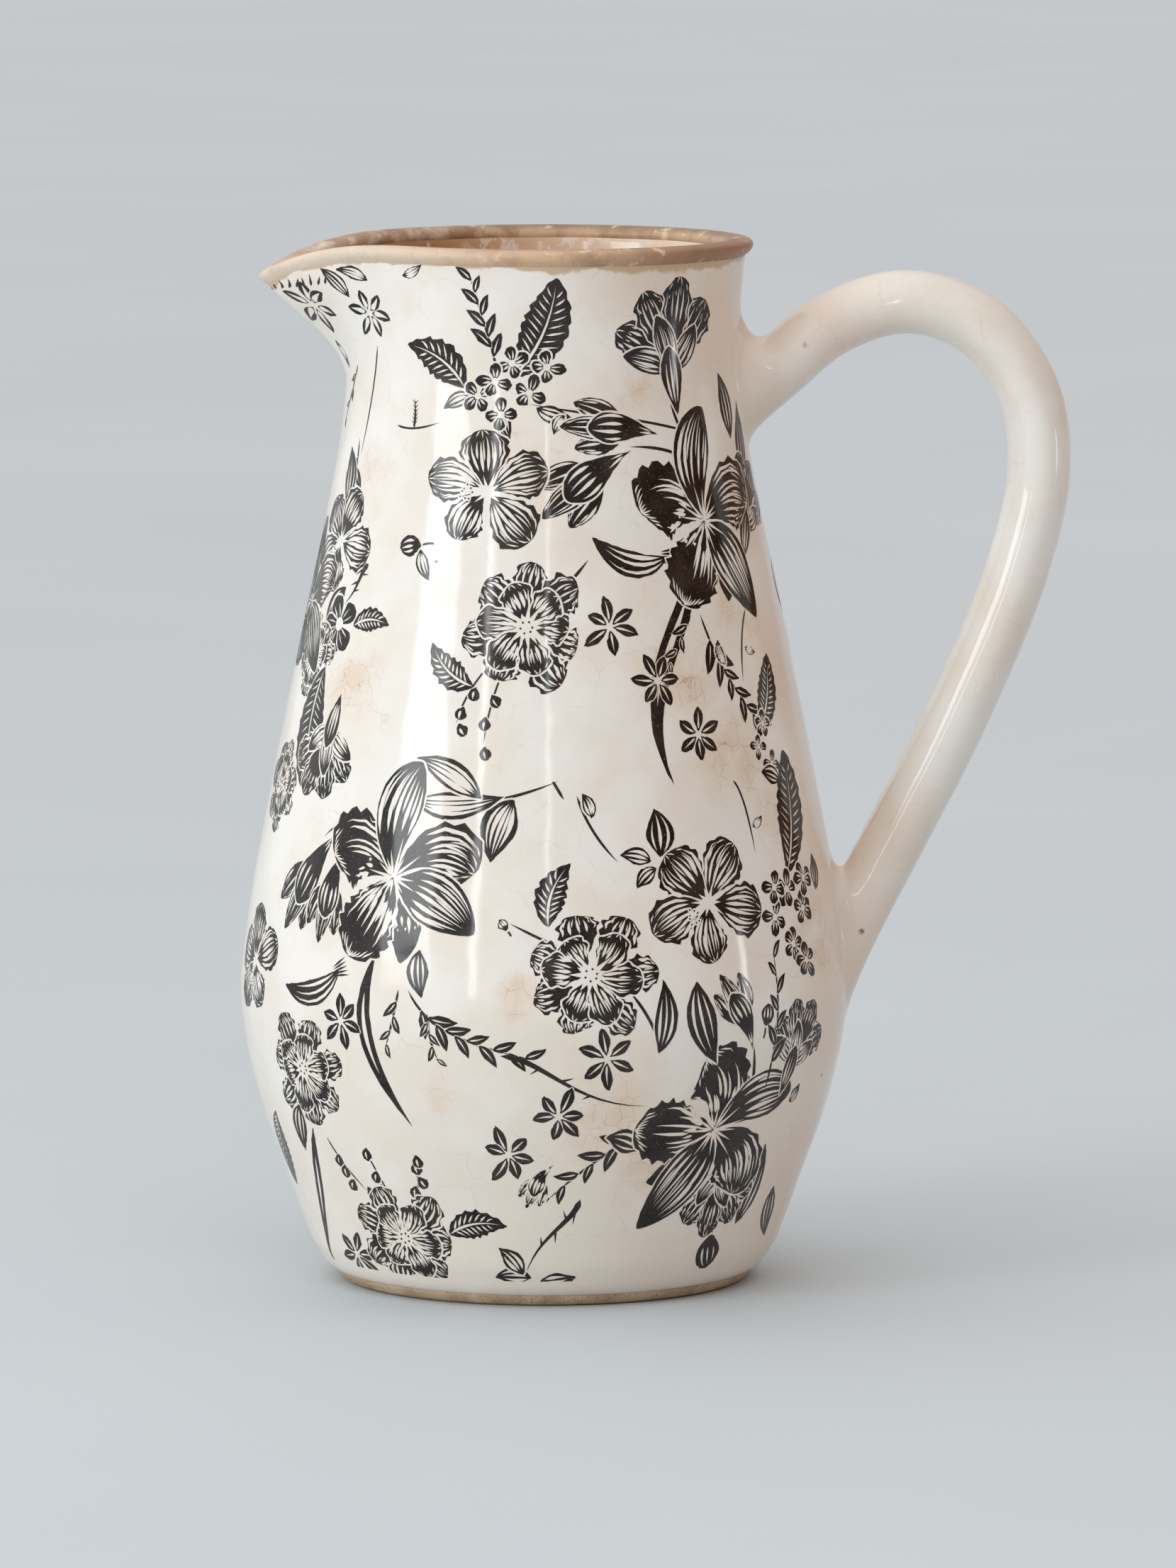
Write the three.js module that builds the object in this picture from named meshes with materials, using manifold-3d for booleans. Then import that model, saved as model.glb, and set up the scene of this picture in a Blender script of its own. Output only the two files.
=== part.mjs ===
// Ceramic pitcher with a pulled beak spout and a loop handle.
//
// Millimetres, +Z up. The spout points to -X and the handle to +X. Everything is laid out round the
// vessel's own axis, and the finished group is then centred on its overall length, so that the
// origin is the middle of its footprint on the table.
//
// The vessel is made of the clay pieces that are joined while the clay is leather-hard. Each joint
// keeps a line of JOINT_GAP between neighbours.

import * as THREE from "three";
import { mergeVertices } from "three/addons/utils/BufferGeometryUtils.js";
import Module from "manifold-3d";

const wasm = await Module();
wasm.setup();

// ---------------------------------------------------------------- driving dimensions

const HEIGHT = 290;
const WALL = 5.5;
const JOINT_GAP = 0.3;

// Outline of the vessel as [height, outer radius] stations, joined by a smooth curve.
const OUTLINE = [
  [0, 56.0],
  [4, 59.6],
  [10, 64.2],
  [17, 67.1],
  [30, 71.8],
  [48, 78.3],
  [64, 82.4],
  [81, 84.4],
  [100, 82.5],
  [140, 75.4],
  [180, 67.3],
  [215, 60.0],
  [238, 55.9],
  [256, 54.3],
  [274, 54.6],
  [HEIGHT, 56.2],
];

const FOOT_HEIGHT = 3;
const FOOT_INNER_RADIUS = 46;
const FOOT_CHAMFER = 1;

const FLOOR_RADIUS = 53.5;
const FLOOR_TOP = 10;

const SHOULDER_JOINT = 186; // height of the joint between belly and neck

// The beak: in plan, two straight sides leave the round neck as tangents and meet in a rounded tip.
const BEAK_START = 249; // height where the neck begins to swell towards the spout
const BEAK_FULL = 283; // height where the beak reaches its full angle
const BEAK_ANGLE = THREE.MathUtils.degToRad(46);
const BEAK_ROUNDING = THREE.MathUtils.degToRad(4);
const BEAK_UNDERSIDE = 3; // how much lower the outside of the beak lies than its inside
const BEAK_DIP = 9.5; // how far the rim drops at the tip

// The spout piece is let into a V-shaped notch in the neck.
const NOTCH_APEX = 238;
const NOTCH_HALF_WIDTH = 43; // at the height of the rim

const RIM_HEIGHT = 4;

// Centre line of the handle as [distance from the axis, height]; both ends lie inside the wall.
const HANDLE_PATH = [
  [46, 236],
  [62, 251],
  [80, 266],
  [101, 272],
  [121, 265],
  [134, 247],
  [137, 226],
  [131, 197.5],
  [115, 158],
  [99, 126],
  [84, 97.5],
  [70, 71],
];
const HANDLE_HALF_THICKNESS = 8.8; // in the plane of the loop
const HANDLE_HALF_WIDTH = 12;
const HANDLE_FLARE = 0.9; // how much wider the handle gets where it meets the wall
const HANDLE_FLARE_LENGTH = 0.16; // share of the path that each flare takes
const LUTE_THICKNESS = 2.5; // pad of slip and clay between handle and wall

const ROUND_SEGMENTS = 48;
const RIM_SEGMENTS = 56;
const HANDLE_STEPS = 40;
const HANDLE_SIDES = 14;
const LUTE_STEPS = 8;

// ---------------------------------------------------------------- solids and booleans

// A closed skin through rings of equal length. A looped skin joins its last ring to its first, and
// any other has a flat cap on each end.
function loft(rings, looped) {
  const sides = rings[0].length;
  const positions = rings.flat().flatMap((point) => [point.x, point.y, point.z]);
  const indices = [];
  const strips = looped ? rings.length : rings.length - 1;
  for (let i = 0; i < strips; i += 1) {
    const near = i * sides;
    const far = ((i + 1) % rings.length) * sides;
    for (let j = 0; j < sides; j += 1) {
      const k = (j + 1) % sides;
      indices.push(near + j, far + k, near + k);
      indices.push(near + j, far + j, far + k);
    }
  }
  if (!looped) {
    const last = (rings.length - 1) * sides;
    for (let j = 1; j < sides - 1; j += 1) {
      indices.push(0, j, j + 1);
      indices.push(last, last + j + 1, last + j);
    }
  }
  const geometry = new THREE.BufferGeometry();
  geometry.setAttribute("position", new THREE.Float32BufferAttribute(positions, 3));
  geometry.setIndex(indices);
  return geometry;
}

function toManifold(geometry) {
  const bare = geometry.clone();
  bare.deleteAttribute("normal");
  bare.deleteAttribute("uv");
  const merged = mergeVertices(bare);
  const vertProperties = new Float32Array(merged.getAttribute("position").array);
  const triVerts = new Uint32Array(merged.getIndex().array);
  return new wasm.Manifold(new wasm.Mesh({ numProp: 3, vertProperties, triVerts }));
}

function toGeometry(manifold) {
  const mesh = manifold.getMesh();
  const geometry = new THREE.BufferGeometry();
  geometry.setAttribute("position", new THREE.BufferAttribute(mesh.vertProperties, 3));
  geometry.setIndex(new THREE.BufferAttribute(mesh.triVerts, 1));
  geometry.computeVertexNormals();
  return geometry;
}

// Turned solid from [radius, height] corners that start and end at one point or on the axis.
function turned(corners, segments = ROUND_SEGMENTS) {
  const points = corners.map(([radius, height]) => new THREE.Vector2(radius, height));
  const lathe = new THREE.LatheGeometry(points, segments);
  lathe.rotateX(Math.PI / 2);
  return lathe;
}

// ---------------------------------------------------------------- surfaces of the vessel

// Slope of the outline at a station: the slopes of the two spans beside it, weighted so that the
// shorter span counts for more.
function outlineSlope(i) {
  const last = OUTLINE.length - 1;
  const rise = (j) => (OUTLINE[j + 1][1] - OUTLINE[j][1]) / (OUTLINE[j + 1][0] - OUTLINE[j][0]);
  if (i === 0 || i === last) {
    return rise(Math.min(i, last - 1));
  }
  const below = OUTLINE[i][0] - OUTLINE[i - 1][0];
  const above = OUTLINE[i + 1][0] - OUTLINE[i][0];
  return (above * rise(i - 1) + below * rise(i)) / (above + below);
}

// Smooth curve through the outline stations, a cubic in each span.
function outerRadius(height) {
  const found = OUTLINE.findIndex(([station]) => station > height);
  const i = (found < 0 ? OUTLINE.length - 1 : Math.max(found, 1)) - 1;
  const [z0, r0] = OUTLINE[i];
  const [z1, r1] = OUTLINE[i + 1];
  const span = z1 - z0;
  const t = (height - z0) / span;
  const lower = r0 * (2 * t ** 3 - 3 * t ** 2 + 1) + outlineSlope(i) * span * (t ** 3 - 2 * t ** 2 + t);
  const upper = r1 * (3 * t ** 2 - 2 * t ** 3) + outlineSlope(i + 1) * span * (t ** 3 - t ** 2);
  return lower + upper;
}

// How many times further out than the round neck the beak reaches, at an angle from its tip.
function beakStretch(angle, height) {
  const rise = THREE.MathUtils.clamp((height - BEAK_START) / (BEAK_FULL - BEAK_START), 0, 1);
  const spread = BEAK_ANGLE * Math.sin((Math.PI / 2) * rise);
  const distance = Math.hypot(angle, BEAK_ROUNDING) - BEAK_ROUNDING;
  return 1 / Math.cos(Math.max(0, spread - distance));
}

function outerPoint(angle, height) {
  return pointAt(angle, outerRadius(height) * beakStretch(angle, height), height);
}

function innerPoint(angle, height) {
  const stretch = beakStretch(angle, height - BEAK_UNDERSIDE);
  return pointAt(angle, (outerRadius(height) - WALL) * stretch, height);
}

// Angles are measured from the tip of the spout, which points to -X.
function pointAt(angle, radius, height) {
  return new THREE.Vector3(-radius * Math.cos(angle), -radius * Math.sin(angle), height);
}

function rimHeight(angle) {
  const tip = beakStretch(0, BEAK_FULL) - 1;
  const share = (beakStretch(angle, BEAK_FULL) - 1) / tip;
  return HEIGHT - BEAK_DIP * share ** 1.5;
}

// Angles round the neck, twice as close together at the spout as on average.
function neckAngles() {
  return Array.from({ length: RIM_SEGMENTS }, (_, i) => {
    const turn = (2 * Math.PI * i) / RIM_SEGMENTS;
    const angle = turn - Math.sin(turn) / 2;
    return angle > Math.PI ? angle - 2 * Math.PI : angle;
  });
}

function heightsBetween(low, high, count) {
  return Array.from({ length: count }, (_, i) => THREE.MathUtils.lerp(low, high, i / (count - 1)));
}

// ---------------------------------------------------------------- pieces

// Turned ring that the pitcher stands on, with a recess under the floor.
function footRing() {
  const top = FOOT_HEIGHT;
  const outside = outerRadius(0);
  return turned([
    [FOOT_INNER_RADIUS, top],
    [FOOT_INNER_RADIUS, FOOT_CHAMFER],
    [FOOT_INNER_RADIUS + FOOT_CHAMFER, 0],
    [outside - FOOT_CHAMFER, 0],
    [outerRadius(FOOT_CHAMFER), FOOT_CHAMFER],
    [outerRadius(top), top],
    [FOOT_INNER_RADIUS, top],
  ]);
}

function floorDisc() {
  const bottom = FOOT_HEIGHT + JOINT_GAP;
  return turned([
    [0, bottom],
    [FLOOR_RADIUS, bottom],
    [FLOOR_RADIUS, FLOOR_TOP - 1],
    [FLOOR_RADIUS - 1, FLOOR_TOP],
    [0, FLOOR_TOP],
  ]);
}

// Lower wall, from the foot to the shoulder. Its inside rounds out from the edge of the floor.
function bellyWall() {
  const bottom = FOOT_HEIGHT + JOINT_GAP;
  const top = SHOULDER_JOINT - JOINT_GAP;
  const lip = FLOOR_RADIUS + JOINT_GAP;
  const curveEnd = 24;
  const outside = [bottom, 7, 12, 20, 32, 46, 62, 81, 98, 118, 140, 163, top];
  const inside = [top, 150, 118, 92, 70, 46, curveEnd];
  return turned([
    ...outside.map((height) => [outerRadius(height), height]),
    ...inside.map((height) => [outerRadius(height) - WALL, height]),
    [lip + 4, FLOOR_TOP + 3.5],
    [lip, FLOOR_TOP],
    [lip, bottom],
    [outerRadius(bottom), bottom],
  ]);
}

// Neck and beak as one closed wall, before the beak is cut free.
function neckShell() {
  const rings = neckAngles().map((angle) => {
    const top = rimHeight(angle) - RIM_HEIGHT;
    const lower = heightsBetween(SHOULDER_JOINT, BEAK_START - BEAK_DIP, 4);
    const upper = heightsBetween(BEAK_START - BEAK_DIP, top, 8).slice(1);
    const heights = [...lower, ...upper];
    const outside = heights.map((height) => outerPoint(angle, height));
    const inside = heights.map((height) => innerPoint(angle, height)).reverse();
    return [...outside, ...inside];
  });
  return loft(rings, true);
}

// Wedge that runs through the spout side of the neck, with its point down.
function notchWedge(clearance) {
  const halfAngle = Math.atan(NOTCH_HALF_WIDTH / (HEIGHT - NOTCH_APEX));
  const drop = clearance / Math.sin(halfAngle);
  const top = HEIGHT + 10;
  const apex = NOTCH_APEX - drop;
  const halfWidth = (top - apex) * Math.tan(halfAngle);
  const outline = new THREE.Shape();
  outline.moveTo(0, apex);
  outline.lineTo(halfWidth, top);
  outline.lineTo(-halfWidth, top);
  const reach = 90;
  const wedge = new THREE.ExtrudeGeometry(outline, { depth: reach, bevelEnabled: false });
  wedge.rotateX(Math.PI / 2);
  wedge.rotateZ(-Math.PI / 2);
  wedge.translate(-12, 0, 0);
  return wedge;
}

// Rounded bead along the top of neck and spout. Each corner is a place across the wall, from its
// inside at 0 to its outside at 1, and a height above the wall.
function rimBead() {
  const section = [
    [1.0, 0],
    [1.25, 0.5],
    [1.35, 1.6],
    [1.2, 2.8],
    [0.85, 3.5],
    [0.4, 3.7],
    [0.05, 3.0],
    [-0.1, 1.5],
    [0, 0],
  ];
  const rings = neckAngles().map((angle) => {
    const bottom = rimHeight(angle) - RIM_HEIGHT + JOINT_GAP;
    return section.map(([across, above]) => {
      const height = bottom + above;
      return innerPoint(angle, height).lerp(outerPoint(angle, height), across);
    });
  });
  return loft(rings, true);
}

// Oval handle bar between two shares of its path, thickened towards both ends.
function handleBar(from, to, steps) {
  const points = HANDLE_PATH.map(([x, z]) => new THREE.Vector3(x, 0, z));
  const path = new THREE.CatmullRomCurve3(points, false, "centripetal");
  const across = new THREE.Vector3(0, 1, 0);
  const rings = heightsBetween(from, to, steps + 1).map((share) => {
    const centre = path.getPointAt(share);
    const inPlane = new THREE.Vector3().crossVectors(path.getTangentAt(share), across);
    const endDistance = Math.min(share, 1 - share) / HANDLE_FLARE_LENGTH;
    const flare = 1 + HANDLE_FLARE * Math.max(0, 1 - endDistance) ** 1.5;
    return Array.from({ length: HANDLE_SIDES }, (_, i) => {
      const turn = (2 * Math.PI * i) / HANDLE_SIDES;
      return centre
        .clone()
        .addScaledVector(inPlane, HANDLE_HALF_THICKNESS * flare * Math.cos(turn))
        .addScaledVector(across, HANDLE_HALF_WIDTH * flare * Math.sin(turn));
    });
  });
  return loft(rings, false);
}

// The vessel without its hollow, grown by a clearance, to cut the handle's pieces to the wall.
function wallForm(clearance) {
  const heights = heightsBetween(0, HEIGHT, 24);
  const side = heights.map((height) => [outerRadius(height) + clearance, height]);
  return toManifold(turned([[0, 0], ...side, [0, HEIGHT]], 2 * ROUND_SEGMENTS));
}

function lute(from, to) {
  const bar = toManifold(handleBar(from, to, LUTE_STEPS));
  const outside = wallForm(JOINT_GAP + LUTE_THICKNESS);
  return toGeometry(bar.intersect(outside).subtract(wallForm(JOINT_GAP)));
}

function handle() {
  const bar = toManifold(handleBar(0, 1, HANDLE_STEPS));
  return toGeometry(bar.subtract(wallForm(2 * JOINT_GAP + LUTE_THICKNESS)));
}

// ---------------------------------------------------------------- assembly

const creamGlaze = new THREE.MeshStandardMaterial({ color: 0xefe5d8, roughness: 0.15, metalness: 0 });
const stainedGlaze = new THREE.MeshStandardMaterial({ color: 0xa98565, roughness: 0.3, metalness: 0 });
const bareClay = new THREE.MeshStandardMaterial({ color: 0xb89878, roughness: 0.8, metalness: 0 });

const shell = toManifold(neckShell());
const spout = shell.intersect(toManifold(notchWedge(0)));
const neck = shell.subtract(toManifold(notchWedge(JOINT_GAP)));

const pieces = [
  ["foot_ring", footRing(), bareClay],
  ["floor_disc", floorDisc(), creamGlaze],
  ["belly_wall", bellyWall(), creamGlaze],
  ["neck_wall", toGeometry(neck), creamGlaze],
  ["spout", toGeometry(spout), creamGlaze],
  ["rim_bead", rimBead(), stainedGlaze],
  ["upper_lute", lute(0, 0.2), creamGlaze],
  ["lower_lute", lute(0.75, 1), creamGlaze],
  ["handle", handle(), creamGlaze],
];

const pitcher = new THREE.Group();
for (const [name, geometry, material] of pieces) {
  const mesh = new THREE.Mesh(geometry, material);
  mesh.name = name;
  pitcher.add(mesh);
}

const bounds = new THREE.Box3().setFromObject(pitcher);
pitcher.position.x = -(bounds.min.x + bounds.max.x) / 2;

export default pitcher;
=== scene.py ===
"""A ceramic pitcher: cream crackled glaze, brown-stained rim and a dark botanical print.

Lengths are millimetres round the vessel's own axis, with the spout towards -X, the handle towards
+X and the front towards -Y, and to_frame() turns them into metres in the CAD frame. The stage, the
windows and the camera are placed in metres.
"""

import math

import bmesh
import bpy
import numpy as np
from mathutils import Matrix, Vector
from mathutils.geometry import delaunay_2d_cdt


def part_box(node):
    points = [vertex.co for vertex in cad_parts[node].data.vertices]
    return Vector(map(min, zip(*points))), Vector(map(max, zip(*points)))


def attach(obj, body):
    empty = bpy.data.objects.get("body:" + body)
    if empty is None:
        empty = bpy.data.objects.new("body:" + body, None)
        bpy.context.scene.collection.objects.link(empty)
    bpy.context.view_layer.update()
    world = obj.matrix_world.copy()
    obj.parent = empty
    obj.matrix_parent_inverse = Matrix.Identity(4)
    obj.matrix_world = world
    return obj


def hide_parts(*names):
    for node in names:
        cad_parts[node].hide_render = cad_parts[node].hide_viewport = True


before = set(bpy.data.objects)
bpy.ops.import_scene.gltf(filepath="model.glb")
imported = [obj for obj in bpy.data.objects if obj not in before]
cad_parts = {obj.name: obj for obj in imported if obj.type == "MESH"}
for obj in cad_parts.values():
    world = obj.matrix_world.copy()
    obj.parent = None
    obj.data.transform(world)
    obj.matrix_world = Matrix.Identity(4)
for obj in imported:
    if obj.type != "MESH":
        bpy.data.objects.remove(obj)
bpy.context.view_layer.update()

# ---------------------------------------------------------------- driving dimensions

MM = 0.001
foot_low, foot_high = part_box("foot_ring")
floor_low, floor_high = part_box("floor_disc")

AXIS_X = (foot_low.x + foot_high.x) / 2 / MM  # the vessel's axis in the CAD frame
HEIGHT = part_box("rim_bead")[1].z / MM
FOOT_HEIGHT = foot_high.z / MM
FLOOR_BOTTOM = floor_low.z / MM
FLOOR_TOP = floor_high.z / MM
WALL = 5.5

# The CAD outline of the vessel, as stations of height and outer radius joined by a smooth curve.
OUTLINE = np.array([
    (0, 56.0), (4, 59.6), (10, 64.2), (17, 67.1), (30, 71.8), (48, 78.3), (64, 82.4), (81, 84.4),
    (100, 82.5), (140, 75.4), (180, 67.3), (215, 60.0), (238, 55.9), (256, 54.3), (274, 54.6),
    (HEIGHT, 56.2),
])

BEAK_START = 249.0  # the beak grows out of the round neck from here up to BEAK_FULL
BEAK_FULL = 283.0
BEAK_ANGLE = math.radians(46)  # from its tip to where it joins the round neck
BEAK_ROUNDING = math.radians(4)
BEAK_UNDERSIDE = 3.0  # how much higher its inside starts than its outside
BEAK_DIP = 9.5  # how far its tip lies below the rest of the rim
RIM_HEIGHT = 4.2
RIM_OVERHANG = 1.9  # how far the rim bead stands out from the neck

HANDLE_PATH = [
    (46, 236), (62, 251), (80, 266), (101, 272), (121, 265), (134, 247), (137, 226), (131, 197.5),
    (115, 158), (99, 126), (84, 97.5), (70, 71),
]
HANDLE_HALF_THICKNESS = 8.8
HANDLE_HALF_WIDTH = 12.0


# ---------------------------------------------------------------- surfaces of the vessel

def outline_slopes():
    """Slope at each outline station, from the spans beside it, the shorter span counting for more."""
    spans = np.diff(OUTLINE[:, 0])
    rises = np.diff(OUTLINE[:, 1]) / spans
    inner = (spans[1:] * rises[:-1] + spans[:-1] * rises[1:]) / (spans[1:] + spans[:-1])
    return np.concatenate([rises[:1], inner, rises[-1:]])


SLOPES = outline_slopes()


def outer_radius(height):
    """Radius of the round vessel's outside at a height."""
    i = np.clip(np.searchsorted(OUTLINE[:, 0], height, side="right") - 1, 0, len(OUTLINE) - 2)
    span = OUTLINE[i + 1, 0] - OUTLINE[i, 0]
    t = (height - OUTLINE[i, 0]) / span
    lower = OUTLINE[i, 1] * (2 * t**3 - 3 * t**2 + 1) + SLOPES[i] * span * (t**3 - 2 * t**2 + t)
    upper = OUTLINE[i + 1, 1] * (3 * t**2 - 2 * t**3) + SLOPES[i + 1] * span * (t**3 - t**2)
    return lower + upper


def beak_stretch(angle, height):
    """How many times further out than the round neck the beak reaches, at an angle from its tip."""
    rise = np.clip((height - BEAK_START) / (BEAK_FULL - BEAK_START), 0, 1)
    spread = BEAK_ANGLE * np.sin(math.pi / 2 * rise)
    distance = np.hypot(angle, BEAK_ROUNDING) - BEAK_ROUNDING
    return 1 / np.cos(np.maximum(0, spread - distance))


def polar(angle, radius, height):
    """Points at an angle from the tip of the spout."""
    height = np.broadcast_to(height, np.broadcast(angle, radius, height).shape)
    return np.stack([-radius * np.cos(angle), -radius * np.sin(angle), height], axis=-1)


def outer_point(angle, height):
    return polar(angle, outer_radius(height) * beak_stretch(angle, height), height)


def inner_point(angle, height):
    stretch = beak_stretch(angle, height - BEAK_UNDERSIDE)
    return polar(angle, (outer_radius(height) - WALL) * stretch, height)


def beak_share(angle):
    """How much of the beak's full reach the rim has at an angle: 1 at the tip, 0 round the neck."""
    return (beak_stretch(angle, BEAK_FULL) - 1) / (beak_stretch(0.0, BEAK_FULL) - 1)


def rim_height(angle):
    """Height of the top of the rim at an angle from the tip of the spout."""
    return HEIGHT - BEAK_DIP * beak_share(angle) ** 1.5


def neck_angles(count):
    """Angles round the neck from -pi to pi, closer together at the spout."""
    turn = np.linspace(-math.pi, math.pi, count, endpoint=False)
    return turn - np.sin(turn) / 2


def to_frame(points):
    """Millimetres round the vessel's axis to metres in the CAD frame."""
    return (np.asarray(points, float) + (AXIS_X, 0, 0)) * MM


# ---------------------------------------------------------------- meshes

def mesh_object(name, points, faces, material):
    """A smooth-shaded piece from points in millimetres and faces as lists of point numbers."""
    mesh = bpy.data.meshes.new(name)
    mesh.from_pydata(to_frame(points).tolist(), [], faces)
    mesh.validate()
    mesh.shade_smooth()
    mesh.materials.append(material)
    piece = bpy.data.objects.new(name, mesh)
    bpy.context.scene.collection.objects.link(piece)
    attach(piece, "root")
    return piece


def strips(rings, sides, looped):
    """Faces that join rings of equal length. A looped skin joins its last ring to its first."""
    faces = []
    for i in range(rings if looped else rings - 1):
        near = i * sides
        far = (i + 1) % rings * sides
        for j in range(sides):
            k = (j + 1) % sides
            faces.append((near + j, near + k, far + k, far + j))
    return faces


def set_attribute(piece, name, values):
    """A number for each point of a piece, for its material to read."""
    attribute = piece.data.attributes.new(name, "FLOAT", "POINT")
    attribute.data.foreach_set("value", np.asarray(values, np.float32))


# ---------------------------------------------------------------- vessel, rim and foot

WALL_ANGLES = 320
OUTSIDE_RINGS = 150
INSIDE_RINGS = 90
RIM_EMBED = 2.2  # how far the wall reaches up into the rim bead
UNDERSIDE_RADII = (4, 16, 30, 42, 50, 55, 58)
GLAZE_EDGE = 5.0  # height of the rounded lower edge of the glaze
GLAZE_TUCK = 0.6  # how far that edge draws in at the very bottom
GLAZE_ROLL = 0.5  # how far it swells above that
INNER_CURVE_TOP = 26.0
INNER_CURVE_WIDTH = 14.0
INNER_FLOOR_RADII = (40, 28, 16, 4)
OUTER_STAIN = 3.5  # how far the brown of the rim bleeds down the outside
INNER_STAIN = 20.0


def outside_rings(angle, wall_top):
    """Rings from the middle of the underside, out past the rounded edge of the glaze and up."""
    rings = [polar(angle, radius, FLOOR_BOTTOM) for radius in UNDERSIDE_RADII]
    for share in np.linspace(0, 1, 8) ** 1.3:
        roll = 2 * GLAZE_ROLL * math.sqrt(1 - (1 - share) ** 2) * (1 - share)
        height = FLOOR_BOTTOM + GLAZE_EDGE * share
        radius = outer_radius(height) - GLAZE_TUCK * (1 - share) ** 4 + roll
        rings.append(polar(angle, radius, height))
    low = FLOOR_BOTTOM + GLAZE_EDGE
    for share in np.linspace(0, 1, OUTSIDE_RINGS)[1:]:
        rings.append(outer_point(angle, low + (wall_top - low) * share))
    return rings


def inside_rings(angle, wall_top):
    """Rings down the inside and round the curve to the middle of the floor."""
    low = INNER_CURVE_TOP
    shares = np.linspace(1, 0, INSIDE_RINGS)
    rings = [inner_point(angle, low + (wall_top - low) * share) for share in shares]
    for turn in np.linspace(0, math.pi / 2, 12)[1:]:
        radius = outer_radius(low) - WALL - INNER_CURVE_WIDTH * (1 - math.cos(turn))
        rings.append(polar(angle, radius, low - (low - FLOOR_TOP) * math.sin(turn)))
    return rings + [polar(angle, radius, FLOOR_TOP) for radius in INNER_FLOOR_RADII]


def make_vessel(material):
    """The glazed wall with its beak, outside and inside, as one closed skin down to the floor."""
    angle = neck_angles(WALL_ANGLES)
    wall_top = rim_height(angle) - RIM_HEIGHT + RIM_EMBED
    outside = outside_rings(angle, wall_top)
    rings = np.array(outside + inside_rings(angle, wall_top))
    points = np.concatenate([rings.reshape(-1, 3), [(0, 0, FLOOR_BOTTOM), (0, 0, FLOOR_TOP)]])
    faces = strips(len(rings), WALL_ANGLES, looped=False)
    last = (len(rings) - 1) * WALL_ANGLES
    for j in range(WALL_ANGLES):
        k = (j + 1) % WALL_ANGLES
        faces.append((len(points) - 2, k, j))
        faces.append((len(points) - 1, last + j, last + k))
    vessel = mesh_object("glazed_vessel", points, faces, material)
    below = np.append(rim_height(angle) - rings[..., 2], (HEIGHT, HEIGHT))
    inside = np.arange(len(points)) >= len(outside) * WALL_ANGLES
    set_attribute(vessel, "outer_stain", np.where(inside, 0, np.exp(-(below - RIM_HEIGHT) / OUTER_STAIN)))
    set_attribute(vessel, "inner_stain", np.where(inside, np.exp(-below / INNER_STAIN), 0))
    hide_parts("belly_wall", "neck_wall", "spout", "floor_disc")


RIM_ANGLES = 360
RIM_SIDES = 28
RIM_INNER_EDGE = -0.10  # across the wall from its inside, 0, to its outside, 1
RIM_SKIRT = 1.2  # how far the bead's underside reaches down into the wall, to run out on both faces
RIM_INNER_TURN = math.radians(115)  # where the bead's inner edge is, round its section from outside


def rounded(value):
    """Cosine or sine value pushed outwards, to make an oval fuller."""
    return math.copysign(abs(value) ** 0.85, value)


def make_rim(material):
    """Rounded bead along the top of the wall, which thins out towards the tip of the spout."""
    angle = neck_angles(RIM_ANGLES)
    top = rim_height(angle)
    wobble = 0.006 * np.sin(3 * angle + 1) + 0.004 * np.sin(7 * angle) + 0.003 * np.sin(11 * angle + 2)
    outer_edge = 1 + RIM_OVERHANG / WALL * (1 - 0.75 * beak_share(angle))
    middle = (outer_edge + RIM_INNER_EDGE) / 2
    rings = []
    turns = np.linspace(0, 2 * math.pi, RIM_SIDES, endpoint=False)
    for turn in turns:
        across = middle + (outer_edge - middle) * rounded(math.cos(turn)) + wobble
        height = top - RIM_HEIGHT + RIM_HEIGHT / 2 * (1 + rounded(math.sin(turn)))
        height -= RIM_SKIRT * max(0, -math.sin(turn)) ** 4
        inside = inner_point(angle, height)
        rings.append(inside + (outer_point(angle, height) - inside) * across[:, None])
    points = np.array(rings).transpose(1, 0, 2).reshape(-1, 3)
    rim = mesh_object("rim", points, strips(RIM_ANGLES, RIM_SIDES, looped=True), material)
    # painted shadow along the bead's inner top edge, for the rim's material to read
    set_attribute(rim, "inner_edge_shade", np.tile(np.cos(turns - RIM_INNER_TURN).clip(0) ** 3, RIM_ANGLES))
    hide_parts("rim_bead")


# Section of the foot from its inner top edge, down, outwards and up, as radius and height.
FOOT_SECTION = [
    (46.0, 3.5), (46.0, 1.6), (46.3, 0.7), (47.0, 0.15), (48.5, 0.0), (53.5, 0.0), (55.0, 0.15),
    (56.0, 0.5), (56.8, 1.1), (57.5, 1.9), (58.2, 2.7), (58.4, 3.5),
]


def make_foot(material):
    """Bare turned ring that the pitcher stands on, rounded at its edges."""
    angle = neck_angles(WALL_ANGLES)
    rings = np.array([polar(angle, radius, height) for radius, height in FOOT_SECTION])
    faces = strips(len(rings), WALL_ANGLES, looped=True)
    foot = mesh_object("foot", rings.reshape(-1, 3), faces, material)
    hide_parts("foot_ring")


# ---------------------------------------------------------------- handle

HANDLE_SIDES = 48
HANDLE_RINGS = 150
BLEND_RINGS = 22
BLEND_PULL = 0.55  # how far back a blend is steered along the bar, as a share of its own length
PATH_STEPS = 600
# Where each end of the handle spreads on the wall: height, half-height, half-width, and how far
# along the path the free bar begins, as a share of its length.
UPPER_JOINT = {"height": 251.5, "rise": 20.5, "reach": 17.0, "start": 0.105, "sign": 1}
LOWER_JOINT = {"height": 96.0, "rise": 27.0, "reach": 16.0, "start": 0.845, "sign": -1}


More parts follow.
